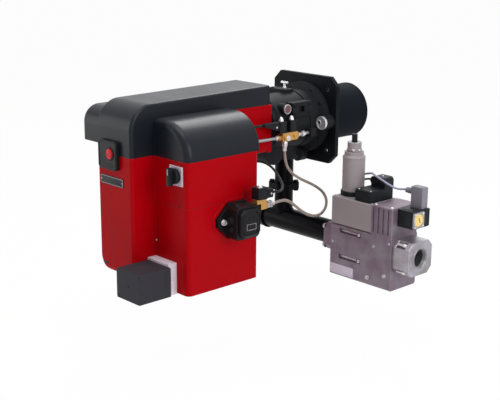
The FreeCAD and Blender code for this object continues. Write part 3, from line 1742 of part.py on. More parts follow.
def tube_along(name, route, radius):
    # Straight runs joined by tangent arcs; each arc is as large as its two runs allow.
    ends = [FreeCAD.Vector(*point) for point in route]
    edges = []
    radii = []
    start = ends[0]
    for before, corner, after in zip(ends, ends[1:], ends[2:]):
        back = (before - corner).normalize()
        ahead = (after - corner).normalize()
        turn = math.pi - back.getAngle(ahead)
        reach = 0.45 * min(before.distanceToPoint(corner), after.distanceToPoint(corner))
        radii.append(reach / math.tan(turn / 2))
        first = corner + back * reach
        last = corner + ahead * reach
        inward = (back + ahead).normalize()
        sagitta = reach * (1 / math.sin(turn / 2) - 1 / math.tan(turn / 2))
        edges.append(Part.LineSegment(start, first).toShape())
        edges.append(Part.Arc(first, corner + inward * sagitta, last).toShape())
        start = last
    edges.append(Part.LineSegment(start, ends[-1]).toShape())
    path = Part.Wire(edges)
    ring = Part.Circle(ends[0], ends[1] - ends[0], float(radius)).toShape()
    shape = path.makePipeShell([Part.Wire([ring])], True, False)
    made = doc.addObject("Part::Feature", name)
    made.Shape = shape
    expected = math.pi * float(radius) ** 2 * path.Length
    if abs(shape.Volume / expected - 1) > 0.01:
        raise RuntimeError(name + ": the tube's volume is wrong")
    steps = ", ".join(str(round(value)) for value in radii)
    print(name, "length", round(path.Length, 1), "mm, bend radii", steps)
    keep(made, name)


def cords():
    tube_along("oil_hose", hose_route, d.hose_r)
    tube_along("grey_cable", grey_route, d.thin_r)
    tube_along("black_cable", black_route, d.thin_r)
    tube_along("solenoid_cable", solenoid_route, d.cable_r)


def check_and_write():
    doc.recompute()
    for thing in doc.Objects:
        if "Invalid" in thing.State or "Error" in thing.State:
            raise RuntimeError(thing.Name + ": " + str(thing.State))
    os.makedirs("parts", exist_ok=True)
    triangles = 0
    for piece in pieces:
        shape = piece.Shape
        if shape.isNull() or not shape.isValid() or not shape.Solids:
            raise RuntimeError(piece.Label + ": no valid solid")
        triangles += len(shape.tessellate(0.3)[1])
        shape.exportStep(os.path.join("parts", piece.Label + ".step"))
    print(len(pieces), "nodes,", triangles, "triangles")


mounting_flange()
blast_tube()
nozzle_lance()
diffuser_plate()
gas_head()
ignition_electrodes()
head_casting()
head_screws()
thumb_screw()
sight_glass()
oil_valves()
main_housing()
fan_wheel()
drive_line()
fan_motor()
main_hood()
control_unit()
hood_latch()
intake_box()
damper()
servomotor()
oil_pump()
control_hood()
selector()
gas_pipes()
gas_valve()
regulator_tower()
valve_plugs()
pressure_switch()
cords()
check_and_write()
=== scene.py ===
import json
import math
import bmesh
import bpy
from mathutils import Matrix, Vector


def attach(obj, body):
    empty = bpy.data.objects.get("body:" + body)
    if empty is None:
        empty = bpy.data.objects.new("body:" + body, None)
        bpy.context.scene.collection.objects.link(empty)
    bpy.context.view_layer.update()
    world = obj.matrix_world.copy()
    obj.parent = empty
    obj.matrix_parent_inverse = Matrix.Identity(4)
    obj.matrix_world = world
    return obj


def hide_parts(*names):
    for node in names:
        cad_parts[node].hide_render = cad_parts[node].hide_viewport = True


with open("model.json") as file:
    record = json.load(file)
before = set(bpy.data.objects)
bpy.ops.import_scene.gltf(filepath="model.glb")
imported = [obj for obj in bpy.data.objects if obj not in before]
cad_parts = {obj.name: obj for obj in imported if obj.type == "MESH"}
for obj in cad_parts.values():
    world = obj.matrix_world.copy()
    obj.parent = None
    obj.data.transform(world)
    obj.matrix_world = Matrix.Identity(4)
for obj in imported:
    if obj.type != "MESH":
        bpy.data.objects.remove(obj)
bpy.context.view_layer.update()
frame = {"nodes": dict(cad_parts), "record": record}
nodes = frame["nodes"]
print("frame loaded:", len(nodes), "nodes")

mm = 0.001  # sizes and places below are in millimetres, as the burner's drawing has them


def at(x, y, z):
    return Vector((x, y, z)) * mm


def tint(red, green, blue):
    # a colour as it looks on screen, 0 to 255
    def linear(part):
        return ((part / 255 + 0.055) / 1.055) ** 2.4 if part > 10 else part / 255 / 12.92
    return (linear(red), linear(green), linear(blue), 1.0)


def shade(colour, factor):
    return (*[min(1.0, part * factor) for part in colour[:3]], 1.0)


class Wire:
    # one output socket, so that shader maths reads as plain Python
    def __init__(self, socket):
        self.socket = socket

    def maths(self, operation, first, second):
        made = self.socket.id_data.nodes.new("ShaderNodeMath")
        made.operation = operation
        for slot, value in zip(made.inputs, (first, second)):
            plug(value, slot)
        return Wire(made.outputs[0])

    def __add__(self, other):
        return self.maths("ADD", self, other)

    def __radd__(self, other):
        return self.maths("ADD", other, self)

    def __sub__(self, other):
        return self.maths("SUBTRACT", self, other)

    def __rsub__(self, other):
        return self.maths("SUBTRACT", other, self)

    def __mul__(self, other):
        return self.maths("MULTIPLY", self, other)

    def __rmul__(self, other):
        return self.maths("MULTIPLY", other, self)


def plug(value, slot):
    if isinstance(value, Wire):
        slot.id_data.links.new(value.socket, slot)
    else:
        slot.default_value = value


class Nodes:
    # a material's or the world's node tree, with one way to add any node
    def __init__(self, owner):
        owner.use_nodes = True
        self.tree = owner.node_tree

    def add(self, kind, settings=None, sockets=None, output=0):
        # settings come first, then the values or wires of its sockets
        made = self.tree.nodes.new("ShaderNode" + kind)
        for name, value in (settings or {}).items():
            setattr(made, name, value)
        for name, value in (sockets or {}).items():
            plug(value, made.inputs[name])
        return Wire(made.outputs[output])

    def seen(self):
        # 1 for what the camera, a mirror or a pane sees, 0 for what only lights the burner
        kinds = ("Is Camera Ray", "Is Glossy Ray", "Is Transmission Ray")
        camera, mirror, pane = (self.add("LightPath", output=kind) for kind in kinds)
        direct = self.add("Math", {"operation": "MAXIMUM"}, {0: camera, 1: mirror})
        return self.add("Math", {"operation": "MAXIMUM"}, {0: direct, 1: pane})


class Finish(Nodes):
    def __init__(self, name):
        self.material = bpy.data.materials.new(name)
        super().__init__(self.material)
        self.shader = self.tree.nodes["Principled BSDF"]

    def set(self, **values):
        for name, value in values.items():
            plug(value, self.shader.inputs[socketNames[name]])
        return self

    def place(self):
        return self.add("TexCoord", output="Object")

    def noise(self, scale, detail=2.0, roughness=0.5, stretch=(1, 1, 1)):
        where = self.add("Mapping", sockets={"Vector": self.place(), "Scale": stretch})
        return self.add("TexNoise", sockets={
            "Vector": where, "Scale": scale, "Detail": detail, "Roughness": roughness})

    def band(self, value, low, high):
        # 0 below low, 1 above high
        return self.add("MapRange", {"interpolation_type": "SMOOTHSTEP"},
                        {"Value": value, "From Min": low, "From Max": high})

    def mix(self, factor, first, second):
        return self.add("Mix", {"data_type": "RGBA"}, {0: factor, 6: first, 7: second}, output=2)

    def rounded(self, radius):
        # the surface's direction with its edges softened
        return self.add("Bevel", {"samples": 6}, {"Radius": radius * mm})

    def likeness(self, first, second):
        # 1 where two directions agree, 0 where they are square to each other
        return self.add("VectorMath", {"operation": "DOT_PRODUCT"}, {0: first, 1: second}, output="Value")

    def edges(self, radius):
        # 1 on edges, 0 on flats
        flat = self.add("NewGeometry", output="True Normal")
        return self.band(1 - self.likeness(self.rounded(radius), flat), 0.01, 0.16)

    def upward(self):
        # 1 on faces that look up, where dust settles and where painted light marks the lit top
        flat = self.add("NewGeometry", output="True Normal")
        return self.band(self.likeness(flat, (0, 0, 1)), 0.4, 1.0)

    def bump(self, height, strength, depth, normal):
        return self.add("Bump", sockets={
            "Strength": strength, "Distance": depth * mm, "Height": height, "Normal": normal})


socketNames = {
    "base": "Base Color", "rough": "Roughness", "metal": "Metallic", "gloss": "Specular IOR Level",
    "normal": "Normal", "alpha": "Alpha",
}


def painted(name, colour, rough=0.34, peel=0.12, edgeWearAndHighlight=0.25, wornAndLitEdge=None, radius=1.2, gloss=0.5):
    # sprayed paint: soft clouds, a trace of orange peel, paler edges that are partly rubbed paint and partly a
    # painted edge highlight
    paint = Finish(name)
    clouds = paint.noise(7, 3)
    smear = paint.noise(38, 5, 0.6)
    orangePeel = paint.noise(520)
    base = paint.mix(clouds, shade(colour, 0.9), shade(colour, 1.1))
    base = paint.mix(paint.edges(radius) * edgeWearAndHighlight, base, wornAndLitEdge or shade(colour, 2.0))
    paint.set(base=base, rough=rough + 0.16 * (smear - 0.5), gloss=gloss)
    return paint.set(normal=paint.bump(orangePeel, peel, 0.25, paint.rounded(radius)))


def moulded(name, colour, rough=0.42, grain=0.25, scale=900, edgeWearAndHighlight=0.3, radius=1.0, gloss=0.5, dustAndTopLight=0.0):
    # moulded plastic: a fine even grain and a faint bloom
    plastic = Finish(name)
    bloom = plastic.noise(14, 4, 0.6)
    skin = plastic.noise(scale, 3, 0.6)
    base = plastic.mix(bloom, shade(colour, 0.88), shade(colour, 1.14))
    # edges paler: partly wear, partly a painted edge highlight
    base = plastic.mix(plastic.edges(radius) * edgeWearAndHighlight, base, shade(colour, 1.9))
    # faces that look up turn pale grey: partly settled dust, partly painted light on the lit top
    if dustAndTopLight:
        base = plastic.mix(plastic.upward() * dustAndTopLight * (0.6 + 0.6 * bloom), base, dustAndTopLightColour)
    plastic.set(base=base, rough=rough + 0.18 * (bloom - 0.5), gloss=gloss)
    return plastic.set(normal=plastic.bump(skin, grain, 0.12, plastic.rounded(radius)))


def castMetal(name, colour, second=None, rough=0.45, metal=0.7, grain=0.5, radius=1.4, edgeWearAndHighlight=0.4, gloss=0.5):
    # cast metal: pitted skin in two casts of colour, bright corners that are partly worn and partly a painted
    # edge highlight, dirt in the hollows
    skin = Finish(name)
    patch = skin.noise(22, 5, 0.6)
    pits = skin.noise(420, 4, 0.65)
    base = skin.mix(skin.band(patch, 0.3, 0.7), shade(colour, 0.84), second or shade(colour, 1.16))
    base = skin.mix(skin.band(pits, 0.62, 0.75) * 0.35, base, shade(colour, 0.5))
    base = skin.mix(skin.edges(radius) * edgeWearAndHighlight, base, shade(colour, 1.9))
    skin.set(base=base, rough=rough + 0.25 * (patch - 0.5), metal=metal, gloss=gloss)
    return skin.set(normal=skin.bump(pits, grain, 0.2, skin.rounded(radius)))


def machined(name, colour, rough=0.26, metal=1.0):
    # turned or milled metal: fine tool lines one way
    bright = Finish(name)
    stain = bright.noise(30, 4, 0.6)
    toolLines = bright.noise(120, 3, 0.6, stretch=(1, 1, 30))
    base = bright.mix(stain, shade(colour, 0.82), shade(colour, 1.12))
    bright.set(base=base, rough=rough + 0.2 * (toolLines - 0.5), metal=metal)
    return bright.set(normal=bright.bump(toolLines, 0.2, 0.06, bright.rounded(0.5)))


def braided(name, colour, rough=0.75):
    # hose sleeve: small crossed cells
    sleeve = Finish(name)
    weave = {"Vector": sleeve.place(), "Scale": 330}
    cells = sleeve.add("TexVoronoi", {"feature": "F1"}, weave, output="Distance")
    fade = sleeve.noise(35, 3)
    base = sleeve.mix(cells, shade(colour, 1.3), shade(colour, 0.55))
    base = sleeve.mix(fade * 0.4, base, shade(colour, 0.75))
    sleeve.set(base=base, rough=rough + 0.1 * (fade - 0.5))
    return sleeve.set(normal=sleeve.bump(1 - cells, 0.6, 0.35, sleeve.rounded(0.3)))


def clear(name, colour, alpha, rough=0.08):
    pane = Finish(name)
    haze = pane.noise(60, 3)
    pane.set(base=pane.mix(haze, colour, shade(colour, 0.9)), rough=rough + 0.08 * haze, gloss=0.7)
    return pane.set(alpha=alpha + 0.1 * (haze - 0.5))


dustAndTopLightColour = tint(150, 146, 152)
finishes = {
    "flange_black": painted("flangeBlack", tint(13, 16, 21), rough=0.5, peel=0.3, edgeWearAndHighlight=0.5, gloss=0.09),
    "tube_black": painted("tubeBlack", tint(22, 26, 31), rough=0.62, peel=0.1, edgeWearAndHighlight=0.3, gloss=0.03),
    "head_dark": castMetal(
        "headDark", tint(24, 25, 29), rough=0.62, metal=0.0, grain=0.7, edgeWearAndHighlight=0.7, gloss=0.15),
    "plate_steel": machined("plateSteel", tint(178, 175, 178), rough=0.38, metal=0.8),
    "bright_steel": machined("brightSteel", tint(226, 224, 226), rough=0.34, metal=0.7),
    "ceramic_white": moulded("ceramicWhite", tint(225, 220, 210), rough=0.2, grain=0.05, edgeWearAndHighlight=0.0),
    "brass": machined("brassBright", tint(206, 160, 92), rough=0.36, metal=0.85),
    "sight_red": moulded("sightRed", tint(96, 34, 46), rough=0.12, grain=0.02, edgeWearAndHighlight=0.0, gloss=0.8),
    "coil_black": moulded("coilBlack", tint(20, 22, 25), rough=0.4, gloss=0.2),
    # the pink edges of the red paint are partly rubbed paint and partly a painted edge highlight
    "housing_red": painted(
        "housingRed", tint(166, 0, 11), rough=0.36, peel=0.1, edgeWearAndHighlight=0.6, wornAndLitEdge=tint(206, 52, 66),
        radius=1.4, gloss=0.05),
    # the hood's pale tops are partly dust and partly painted light on the lit top
    "hood_black": moulded(
        "hoodBlack", tint(21, 25, 32), rough=0.33, grain=0.16, edgeWearAndHighlight=0.3, radius=1.5, gloss=0.18, dustAndTopLight=0.07),
    "latch_black": moulded("latchBlack", tint(20, 21, 24), rough=0.42, grain=0.2, gloss=0.2),
    "lock_red": moulded("lockRed", tint(196, 10, 26), rough=0.25, grain=0.05, gloss=0.3),
    "motor_grey": castMetal("motorGrey", tint(74, 74, 80), rough=0.45, metal=0.3, grain=0.4),
    "base_grey": moulded("baseGrey", tint(170, 168, 165), rough=0.55),
    "selector_light": moulded("selectorLight", tint(196, 186, 202), rough=0.4, grain=0.1),
    "servo_light": moulded("servoLight", tint(210, 204, 214), rough=0.45, grain=0.15),
    "servo_charcoal": moulded(
        "servoCharcoal", tint(48, 47, 53), rough=0.6, grain=0.5, scale=1100, gloss=0.15),
    "pump_black": castMetal(
        "pumpBlack", tint(17, 17, 20), rough=0.42, metal=0.0, grain=0.5, edgeWearAndHighlight=0.5, gloss=0.2),
    "pipe_black": painted("pipeBlack", tint(8, 9, 13), rough=0.3, peel=0.25, edgeWearAndHighlight=0.3, gloss=0.06),
    # the valve castings' strong pale edges are partly wear and partly a painted edge highlight
    "valve_grey": castMetal(
        "valveGrey", tint(120, 101, 117), tint(130, 122, 130), rough=0.5, metal=0.35, grain=0.6,
        radius=1.8, edgeWearAndHighlight=0.8),
    "inlet_silver": castMetal(
        "inletSilver", tint(150, 145, 148), tint(172, 168, 178), rough=0.36, metal=0.75, grain=0.4,
        radius=2, edgeWearAndHighlight=0.8),
    "cover_grey": painted("coverGrey", tint(147, 139, 142), rough=0.42, peel=0.2, edgeWearAndHighlight=0.4, gloss=0.3),
    "ring_black": moulded("ringBlack", tint(20, 20, 22), rough=0.5, gloss=0.2),
    "plug_black": moulded("plugBlack", tint(25, 28, 33), rough=0.45, grain=0.4, gloss=0.15),
    "plug_grey": moulded("plugGrey", tint(122, 120, 130), rough=0.5),
    "switch_grey": moulded("switchGrey", tint(26, 28, 33), rough=0.45, gloss=0.2),
    "window_clear": clear("windowClear", tint(226, 228, 234), 0.5),
    "dial_yellow": moulded("dialYellow", tint(246, 210, 124), rough=0.3, grain=0.08, edgeWearAndHighlight=0.1),
    "hose_beige": braided("hoseBeige", tint(152, 140, 130)),
    "cable_grey": moulded("cableGrey", tint(150, 154, 176), rough=0.5, grain=0.1),
    "cable_black": moulded("cableBlack", tint(24, 24, 27), rough=0.5, grain=0.1, gloss=0.25),
}

for part in frame["record"]["subparts"]:
    skin = nodes[part["node"]].data
    skin.materials.clear()
    skin.materials.append(finishes[part["material_slot"]].material)
print("finishes on", len(nodes), "nodes")

view = {
    "place": (-1.9524, -1.8663, 0.4776), "azimuth": -43.12, "elevation": 14.73, "roll": 0.391,
    "focal": 1034.5, "wide": 500,  # both in pixels of the photograph's frame
}


def makeCamera(facts):
    turn, rise, roll = (math.radians(facts[key]) for key in ("azimuth", "elevation", "roll"))
    back = Vector((math.sin(turn) * math.cos(rise), -math.cos(turn) * math.cos(rise), math.sin(rise)))
    flat = Vector((math.cos(turn), math.sin(turn), 0))
    upright = back.cross(flat)
    right = flat * math.cos(roll) + upright * math.sin(roll)
    up = upright * math.cos(roll) - flat * math.sin(roll)
    camera = bpy.data.objects.new("photoCamera", bpy.data.cameras.new("photoCamera"))
    bpy.context.scene.collection.objects.link(camera)
    camera.matrix_world = Matrix.Translation(facts["place"]) @ Matrix((right, up, back)).transposed().to_4x4()
    camera.data.lens = facts["focal"] * camera.data.sensor_width / facts["wide"]
    bpy.context.scene.camera = camera


softBoxes = {
    "overhead": {"place": (-0.9, -0.3, 2.2), "aim": (-0.35, -0.1, 0), "wide": 1.8, "power": 34},
    "backBank": {"place": (1.2, 0.8, 1.8), "aim": (-0.4, -0.1, 0), "wide": 1.2, "power": 28},
    "rearBank": {"place": (-2.3, 1.9, 0.2), "aim": (-0.5, 0, -0.1), "wide": 1.5, "power": 14},
    "sideBank": {"place": (-0.35, -2.8, 0.9), "aim": (-0.3, -0.2, -0.15), "wide": 1.6, "power": 40},
}
skyLevel = 0.3  # how much the world lights the burner; it shows as white
white = (1, 1, 1, 1)


def makeLight(boxes):
    for name, facts in boxes.items():
        lamp = bpy.data.lights.new(name, "AREA")
        lamp.size = facts["wide"]
        lamp.energy = facts["power"]
        holder = bpy.data.objects.new(name, lamp)
        bpy.context.scene.collection.objects.link(holder)
        away = Vector(facts["place"]) - Vector(facts["aim"])
        holder.location = facts["place"]
        holder.rotation_euler = away.to_track_quat("Z", "Y").to_euler()
    bpy.context.scene.world = bpy.data.worlds.new("paleStudio")
    sky = Nodes(bpy.context.scene.world)
    shown = sky.tree.nodes["Background"].inputs
    plug(white, shown["Color"])
    plug(skyLevel + (1 - skyLevel) * sky.seen(), shown["Strength"])


studioFloor = {"height": -0.5, "reach": 14, "dark": 0.9, "pale": 0.93, "glow": 0.97}  # glow is only seen


def makeFloor(facts):
    ground = bmesh.new()
    bmesh.ops.create_grid(ground, x_segments=4, y_segments=4, size=facts["reach"])
    mesh = bpy.data.meshes.new("paleFloor")
    ground.to_mesh(mesh)
    ground.free()
    floor = bpy.data.objects.new("paleFloor", mesh)
    floor.location = (0, 0, facts["height"])
    bpy.context.scene.collection.objects.link(floor)
    pale = Finish("paleFloor")
    base = pale.mix(pale.noise(2), shade(white, facts["dark"]), shade(white, facts["pale"]))
    pale.set(base=base, rough=0.9, gloss=0.1)
    lit = Wire(pale.shader.outputs[0])
    glow = pale.add("Emission", sockets={"Color": white, "Strength": 1.0})
    both = pale.add("MixShader", sockets={0: pale.seen() * facts["glow"], 1: lit, 2: glow})
    plug(both, pale.tree.nodes["Material Output"].inputs["Surface"])
    mesh.materials.append(pale.material)


makeCamera(view)
makeLight(softBoxes)
makeFloor(studioFloor)
bpy.context.scene.view_settings.view_transform = "Standard"
print("camera, light and floor set")


cords = {
    "oil_hose": {"wide": 7, "long": 513.7, "stiffness": "medium", "finish": "hose_beige", "route": [
        (-346.5, -222, -134), (-331, -222, -134), (-308, -215, -136), (-282, -204, -141), (-256, -193, -151.5),
        (-231, -186, -167), (-206, -179, -184), (-180, -173, -199), (-153, -167, -211), (-125, -161, -217.5),
        (-100, -154.5, -216.5), (-79, -147.5, -207), (-67.5, -139.5, -190), (-71.5, -130, -171),
        (-87, -122, -156.5), (-107, -113, -144), (-128, -104, -133), (-147, -95.5, -119), (-160.5, -87.5, -101),
        (-164.5, -82, -72), (-164.5, -82, -50.2)]},
    "grey_cable": {"wide": 5, "long": 219.2, "stiffness": "limp", "finish": "cable_grey", "route": [
        (-64, -393, -117), (-64, -381, -117), (-66.5, -369.5, -119.5), (-72, -358, -116.5), (-78.5, -346, -110),
        (-82, -330.5, -102.5), (-82.5, -313, -96.5), (-78, -297.5, -93), (-67.5, -285.5, -94.5),
        (-56, -276, -98.5), (-48.5, -263, -102.5), (-46, -249, -106), (-46, -234, -112), (-46, -220, -127.5),
        (-46, -220, -145.5)]},
    "black_cable": {"wide": 5, "long": 62.4, "stiffness": "limp", "finish": "cable_black", "route": [
        (-52, -276, -115), (-52, -267, -115), (-50, -256, -117.5), (-47, -245.5, -120.5), (-46, -236.8, -126.3),
        (-46, -231.5, -135.5), (-46, -231.5, -145.5)]},
    "solenoid_cable": {"wide": 6, "long": 297.6, "stiffness": "medium", "finish": "cable_black", "route": [
        (-349.5, -223, -107), (-334, -223, -107), (-314, -217.5, -112), (-293.5, -206, -111),
        (-278, -190.5, -106), (-268, -171.5, -97.5), (-261.5, -151, -86.5), (-256.5, -129, -76.5),
        (-257.5, -106, -70), (-263, -84, -70), (-275.5, -67, -75), (-293, -56, -83), (-313, -51, -91),
        (-330, -50, -95), (-344.8, -50, -95)]},
}


def makeCord(node, facts):
    line = bpy.data.curves.new(node + "_line", "CURVE")
    line.dimensions = "3D"
    spline = line.splines.new("NURBS")
    spline.points.add(len(facts["route"]) - 1)
    for point, place in zip(spline.points, facts["route"]):
        point.co = (*at(*place), 1)
    spline.order_u = 3
    spline.use_endpoint_u = True
    spline.resolution_u = 10
    line.bevel_depth = facts["wide"] / 2 * mm
    line.bevel_resolution = 6
    line.use_fill_caps = True
    line.materials.append(finishes[facts["finish"]].material)
    cord = bpy.data.objects.new(node + "_line", line)
    bpy.context.scene.collection.objects.link(cord)
    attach(cord, "burner")
    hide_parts(node)


for node, facts in cords.items():
    makeCord(node, facts)
print("cords made:", len(cords))

# Small pieces. Each side of the burner: the way to the right and the way up, seen from outside.
sides = {
    "rear": ((0, -1, 0), (0, 0, 1)), "side": ((1, 0, 0), (0, 0, 1)), "top": ((1, 0, 0), (0, 1, 0)),
    "under": ((1, 0, 0), (0, -1, 0)), "front": ((0, 1, 0), (0, 0, 1)), "left": ((-1, 0, 0), (0, 0, 1)),
}
sunk = 0.3  # how far the foot of a small piece goes into what carries it
hairline = (0.15, 0.05)  # a joint line's height and soft edge
smoothUnder = 32  # degrees between two faces that still shade as one


def seat(side, x, y, z, turn=0, shift=(0, 0, 0)):
    # a place on the burner, facing outwards; sizes drawn there are in millimetres
    right, up = (Vector(way) for way in sides[side])
    facing = Matrix((right, up, right.cross(up))).transposed().to_4x4()
    spin = Matrix.Rotation(math.radians(turn), 4, "Z") @ Matrix.Translation(shift)
    return Matrix.Translation(at(x, y, z)) @ facing @ Matrix.Scale(mm, 4) @ spin


def beside(place, right=0, up=0, out=0):
    # a place moved along its own face, or off it
    return (*place, 0, (right, up, out))


def corners(place, right, up, out=0):
    return [beside(place, a * right, b * up, out) for a in (-1, 1) for b in (-1, 1)]


def dialPlaces(place, radius, turns):
    # places on a circle, each turned with it
    return [(*place, turn, (0, radius, 0)) for turn in turns]


def swing(radius, degrees):
    return radius * math.cos(math.radians(degrees)), radius * math.sin(math.radians(degrees))


def around(reach, count=48):
    angles = [2 * math.pi * step / count for step in range(count)]
    return [(reach(angle) * math.cos(angle), reach(angle) * math.sin(angle)) for angle in angles]


def circle(radius, count=48):
    return around(lambda angle: radius, count)


def hexagon(across, limit=1000):
    # six flats, its corners cut by a circle where limit is given
    sixth = math.pi / 3
    return around(lambda angle: min(across / 2 / math.cos((angle + sixth / 2) % sixth - sixth / 2), limit))


def bar(angle, long, wide):
    return min(long / max(abs(math.cos(angle)), 0.001), wide / max(abs(math.sin(angle)), 0.001))


def driveOutline(drive, radius):
    # the socket, slot or cross in a screw's head
    if drive == "hex":
        return hexagon(radius * 1.05)
    long = radius * 0.55
    if drive == "slot":
        return around(lambda angle: bar(angle, long, radius * 0.13))
    narrow = radius * 0.14
    return around(lambda angle: max(bar(angle, long, narrow), bar(angle, narrow, long)))


def panel(wide, tall, corner=1.0, each=5):
    points = []
    for turn, (a, b) in enumerate(((1, 1), (-1, 1), (-1, -1), (1, -1))):
        for step in range(each):
            angle = math.pi / 2 * (turn + step / (each - 1))
            x = a * (wide / 2 - corner) + corner * math.cos(angle)
            y = b * (tall / 2 - corner) + corner * math.sin(angle)
            points.append((x, y))
    return points


def inset(outline, amount):
    # every point of an outline moved inwards, square to its two edges
    moved = []
    for index, here in enumerate(outline):
        before, after = Vector(outline[index - 1]), Vector(outline[(index + 1) % len(outline)])
        first, second = (Vector(here) - before).normalized(), (after - Vector(here)).normalized()
        inward = Vector((-first.y - second.y, first.x + second.x)) / (1 + first.dot(second))
        moved.append((here[0] + inward.x * amount, here[1] + inward.y * amount))
    return moved


class Form:
    # one mesh in the making; every method adds a closed shape to it
    def __init__(self):
        self.mesh = bmesh.new()

    def skin(self, loops, ring):
        # faces between loops of points; a ring joins its last loop to its first
        for low, high in zip(loops, loops[1:] + loops[:1] if ring else loops[1:]):
            for index in range(len(low)):
                after = (index + 1) % len(low)
                self.mesh.faces.new((low[index], low[after], high[after], high[index]))

    def stack(self, where, layers, ring=False):
        # outlines one above another
        loops = [
            [self.mesh.verts.new(where @ Vector((*point, height))) for point in outline]
            for outline, height in layers]
        self.skin(loops, ring)
        if not ring:
            self.mesh.faces.new(loops[0][::-1])
            self.mesh.faces.new(loops[-1])

    def slab(self, where, outline, thick, soft=0.4):
        self.stack(where, [
            (outline, -sunk), (outline, thick - soft),
            (inset(outline, soft * 0.3), thick - soft * 0.3), (inset(outline, soft), thick)])

    def rim(self, where, outline, edge, thick, soft=0.3):
        inner = inset(outline, edge)
        self.stack(where, [
            (outline, -sunk), (outline, thick - soft), (inset(outline, soft), thick),
            (inset(outline, edge - soft), thick), (inner, thick - soft), (inner, -sunk)], ring=True)

    def screw(self, where, radius, tall, drive="cross"):
        hole = driveOutline(drive, radius)
        self.stack(where, [
            (circle(radius), -sunk), (circle(radius), tall * 0.45), (circle(radius * 0.93), tall * 0.8),
            (circle(radius * 0.76), tall), (hole, tall), (hole, tall * 0.35)])

    def bolt(self, where, across, tall, washer=1.2):
        # washer, six-sided head with a turned chamfer, and the shallow dish in its top
        half, edge = across / 2, tall * 0.93
        if washer:
            self.rim(where, circle(half * 1.28), half * 0.9, washer)
        self.stack(where, [
            (hexagon(across), -sunk), (hexagon(across), tall * 0.8), (hexagon(across, half * 1.07), edge),
            (hexagon(across, half * 0.96), tall), (circle(half * 0.6), tall), (circle(half * 0.5), edge)])

    def nut(self, where, across, tall):
        # a six-sided nut or collar chamfered at both ends
        cut, full, chamfer = hexagon(across, across / 2 * 0.98), hexagon(across), across * 0.06
        self.stack(where, [(cut, 0), (full, chamfer), (full, tall - chamfer), (cut, tall)])

    def turned(self, where, profile, count=48, ring=False):
        # radius and height, from the foot up
        self.stack(where, [(circle(radius, count), height) for radius, height in profile], ring)

    def fluted(self, where, radius, tall, count=20, deep=0.5):
        wavy = around(lambda angle: radius - deep * (0.5 - 0.5 * math.cos(angle * count)), count * 4)
        self.stack(where, [(wavy, -sunk), (wavy, tall - deep), (inset(wavy, deep), tall)])

    def weld(self, where, points, radius, ripple=0.12):
        # a closed bead along points, a little uneven
        places = [where @ Vector(point) for point in points]
        section = circle(1, 10)
        loops = []
        for index, here in enumerate(places):
            along = (places[(index + 1) % len(places)] - places[index - 1]).normalized()
            across = along.orthogonal() if not loops else (across - along * across.dot(along))
            across.normalize()
            swell = radius * (1 + ripple * math.sin(index * 2.4)) * mm
            upright = along.cross(across)
            loops.append([self.mesh.verts.new(here + (across * a + upright * b) * swell) for a, b in section])
        self.skin(loops, ring=True)

    def done(self, name, body, slot, replaced=()):
        bmesh.ops.recalc_face_normals(self.mesh, faces=self.mesh.faces)
        mesh = bpy.data.meshes.new(name)
        self.mesh.to_mesh(mesh)
        self.mesh.free()
        mesh.shade_smooth()
        mesh.set_sharp_from_angle(angle=math.radians(smoothUnder))
        mesh.materials.append(finishes[slot].material)
        thing = bpy.data.objects.new(name, mesh)
        bpy.context.scene.collection.objects.link(thing)
        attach(thing, body)
        if replaced:
            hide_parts(*replaced)


def makeGroup(title, group):
    for name, facts in group.items():
        form = Form()
        for kind, where, *sizes in facts["parts"]:
            getattr(form, kind)(seat(*where), *sizes)
        form.done(name, facts.get("body", "burner"), facts["slot"], facts.get("replaces", ()))
    print(title + ":", len(group), "pieces")


# Red housings: bare plate, joint lines, the latch and its lock
housingRear, boxRear, boxSeam = -621, -558, -122
plateFace = ("rear", housingRear, 13.5, -79.5)
boxPlug = ("rear", boxRear, -66, -214)
boxFront = ("front", -343, -115, -170)
latchFace = ("rear", -630.3, 17.5, -19)
lockFace = ("rear", -634.6, 8, -15)
casingScrews = [
    (-606, -40), (-606, -150), (-600, -245), (-510, -252),
    (-370, -248), (-357, -100), (-290, -45), (-205, -45)]

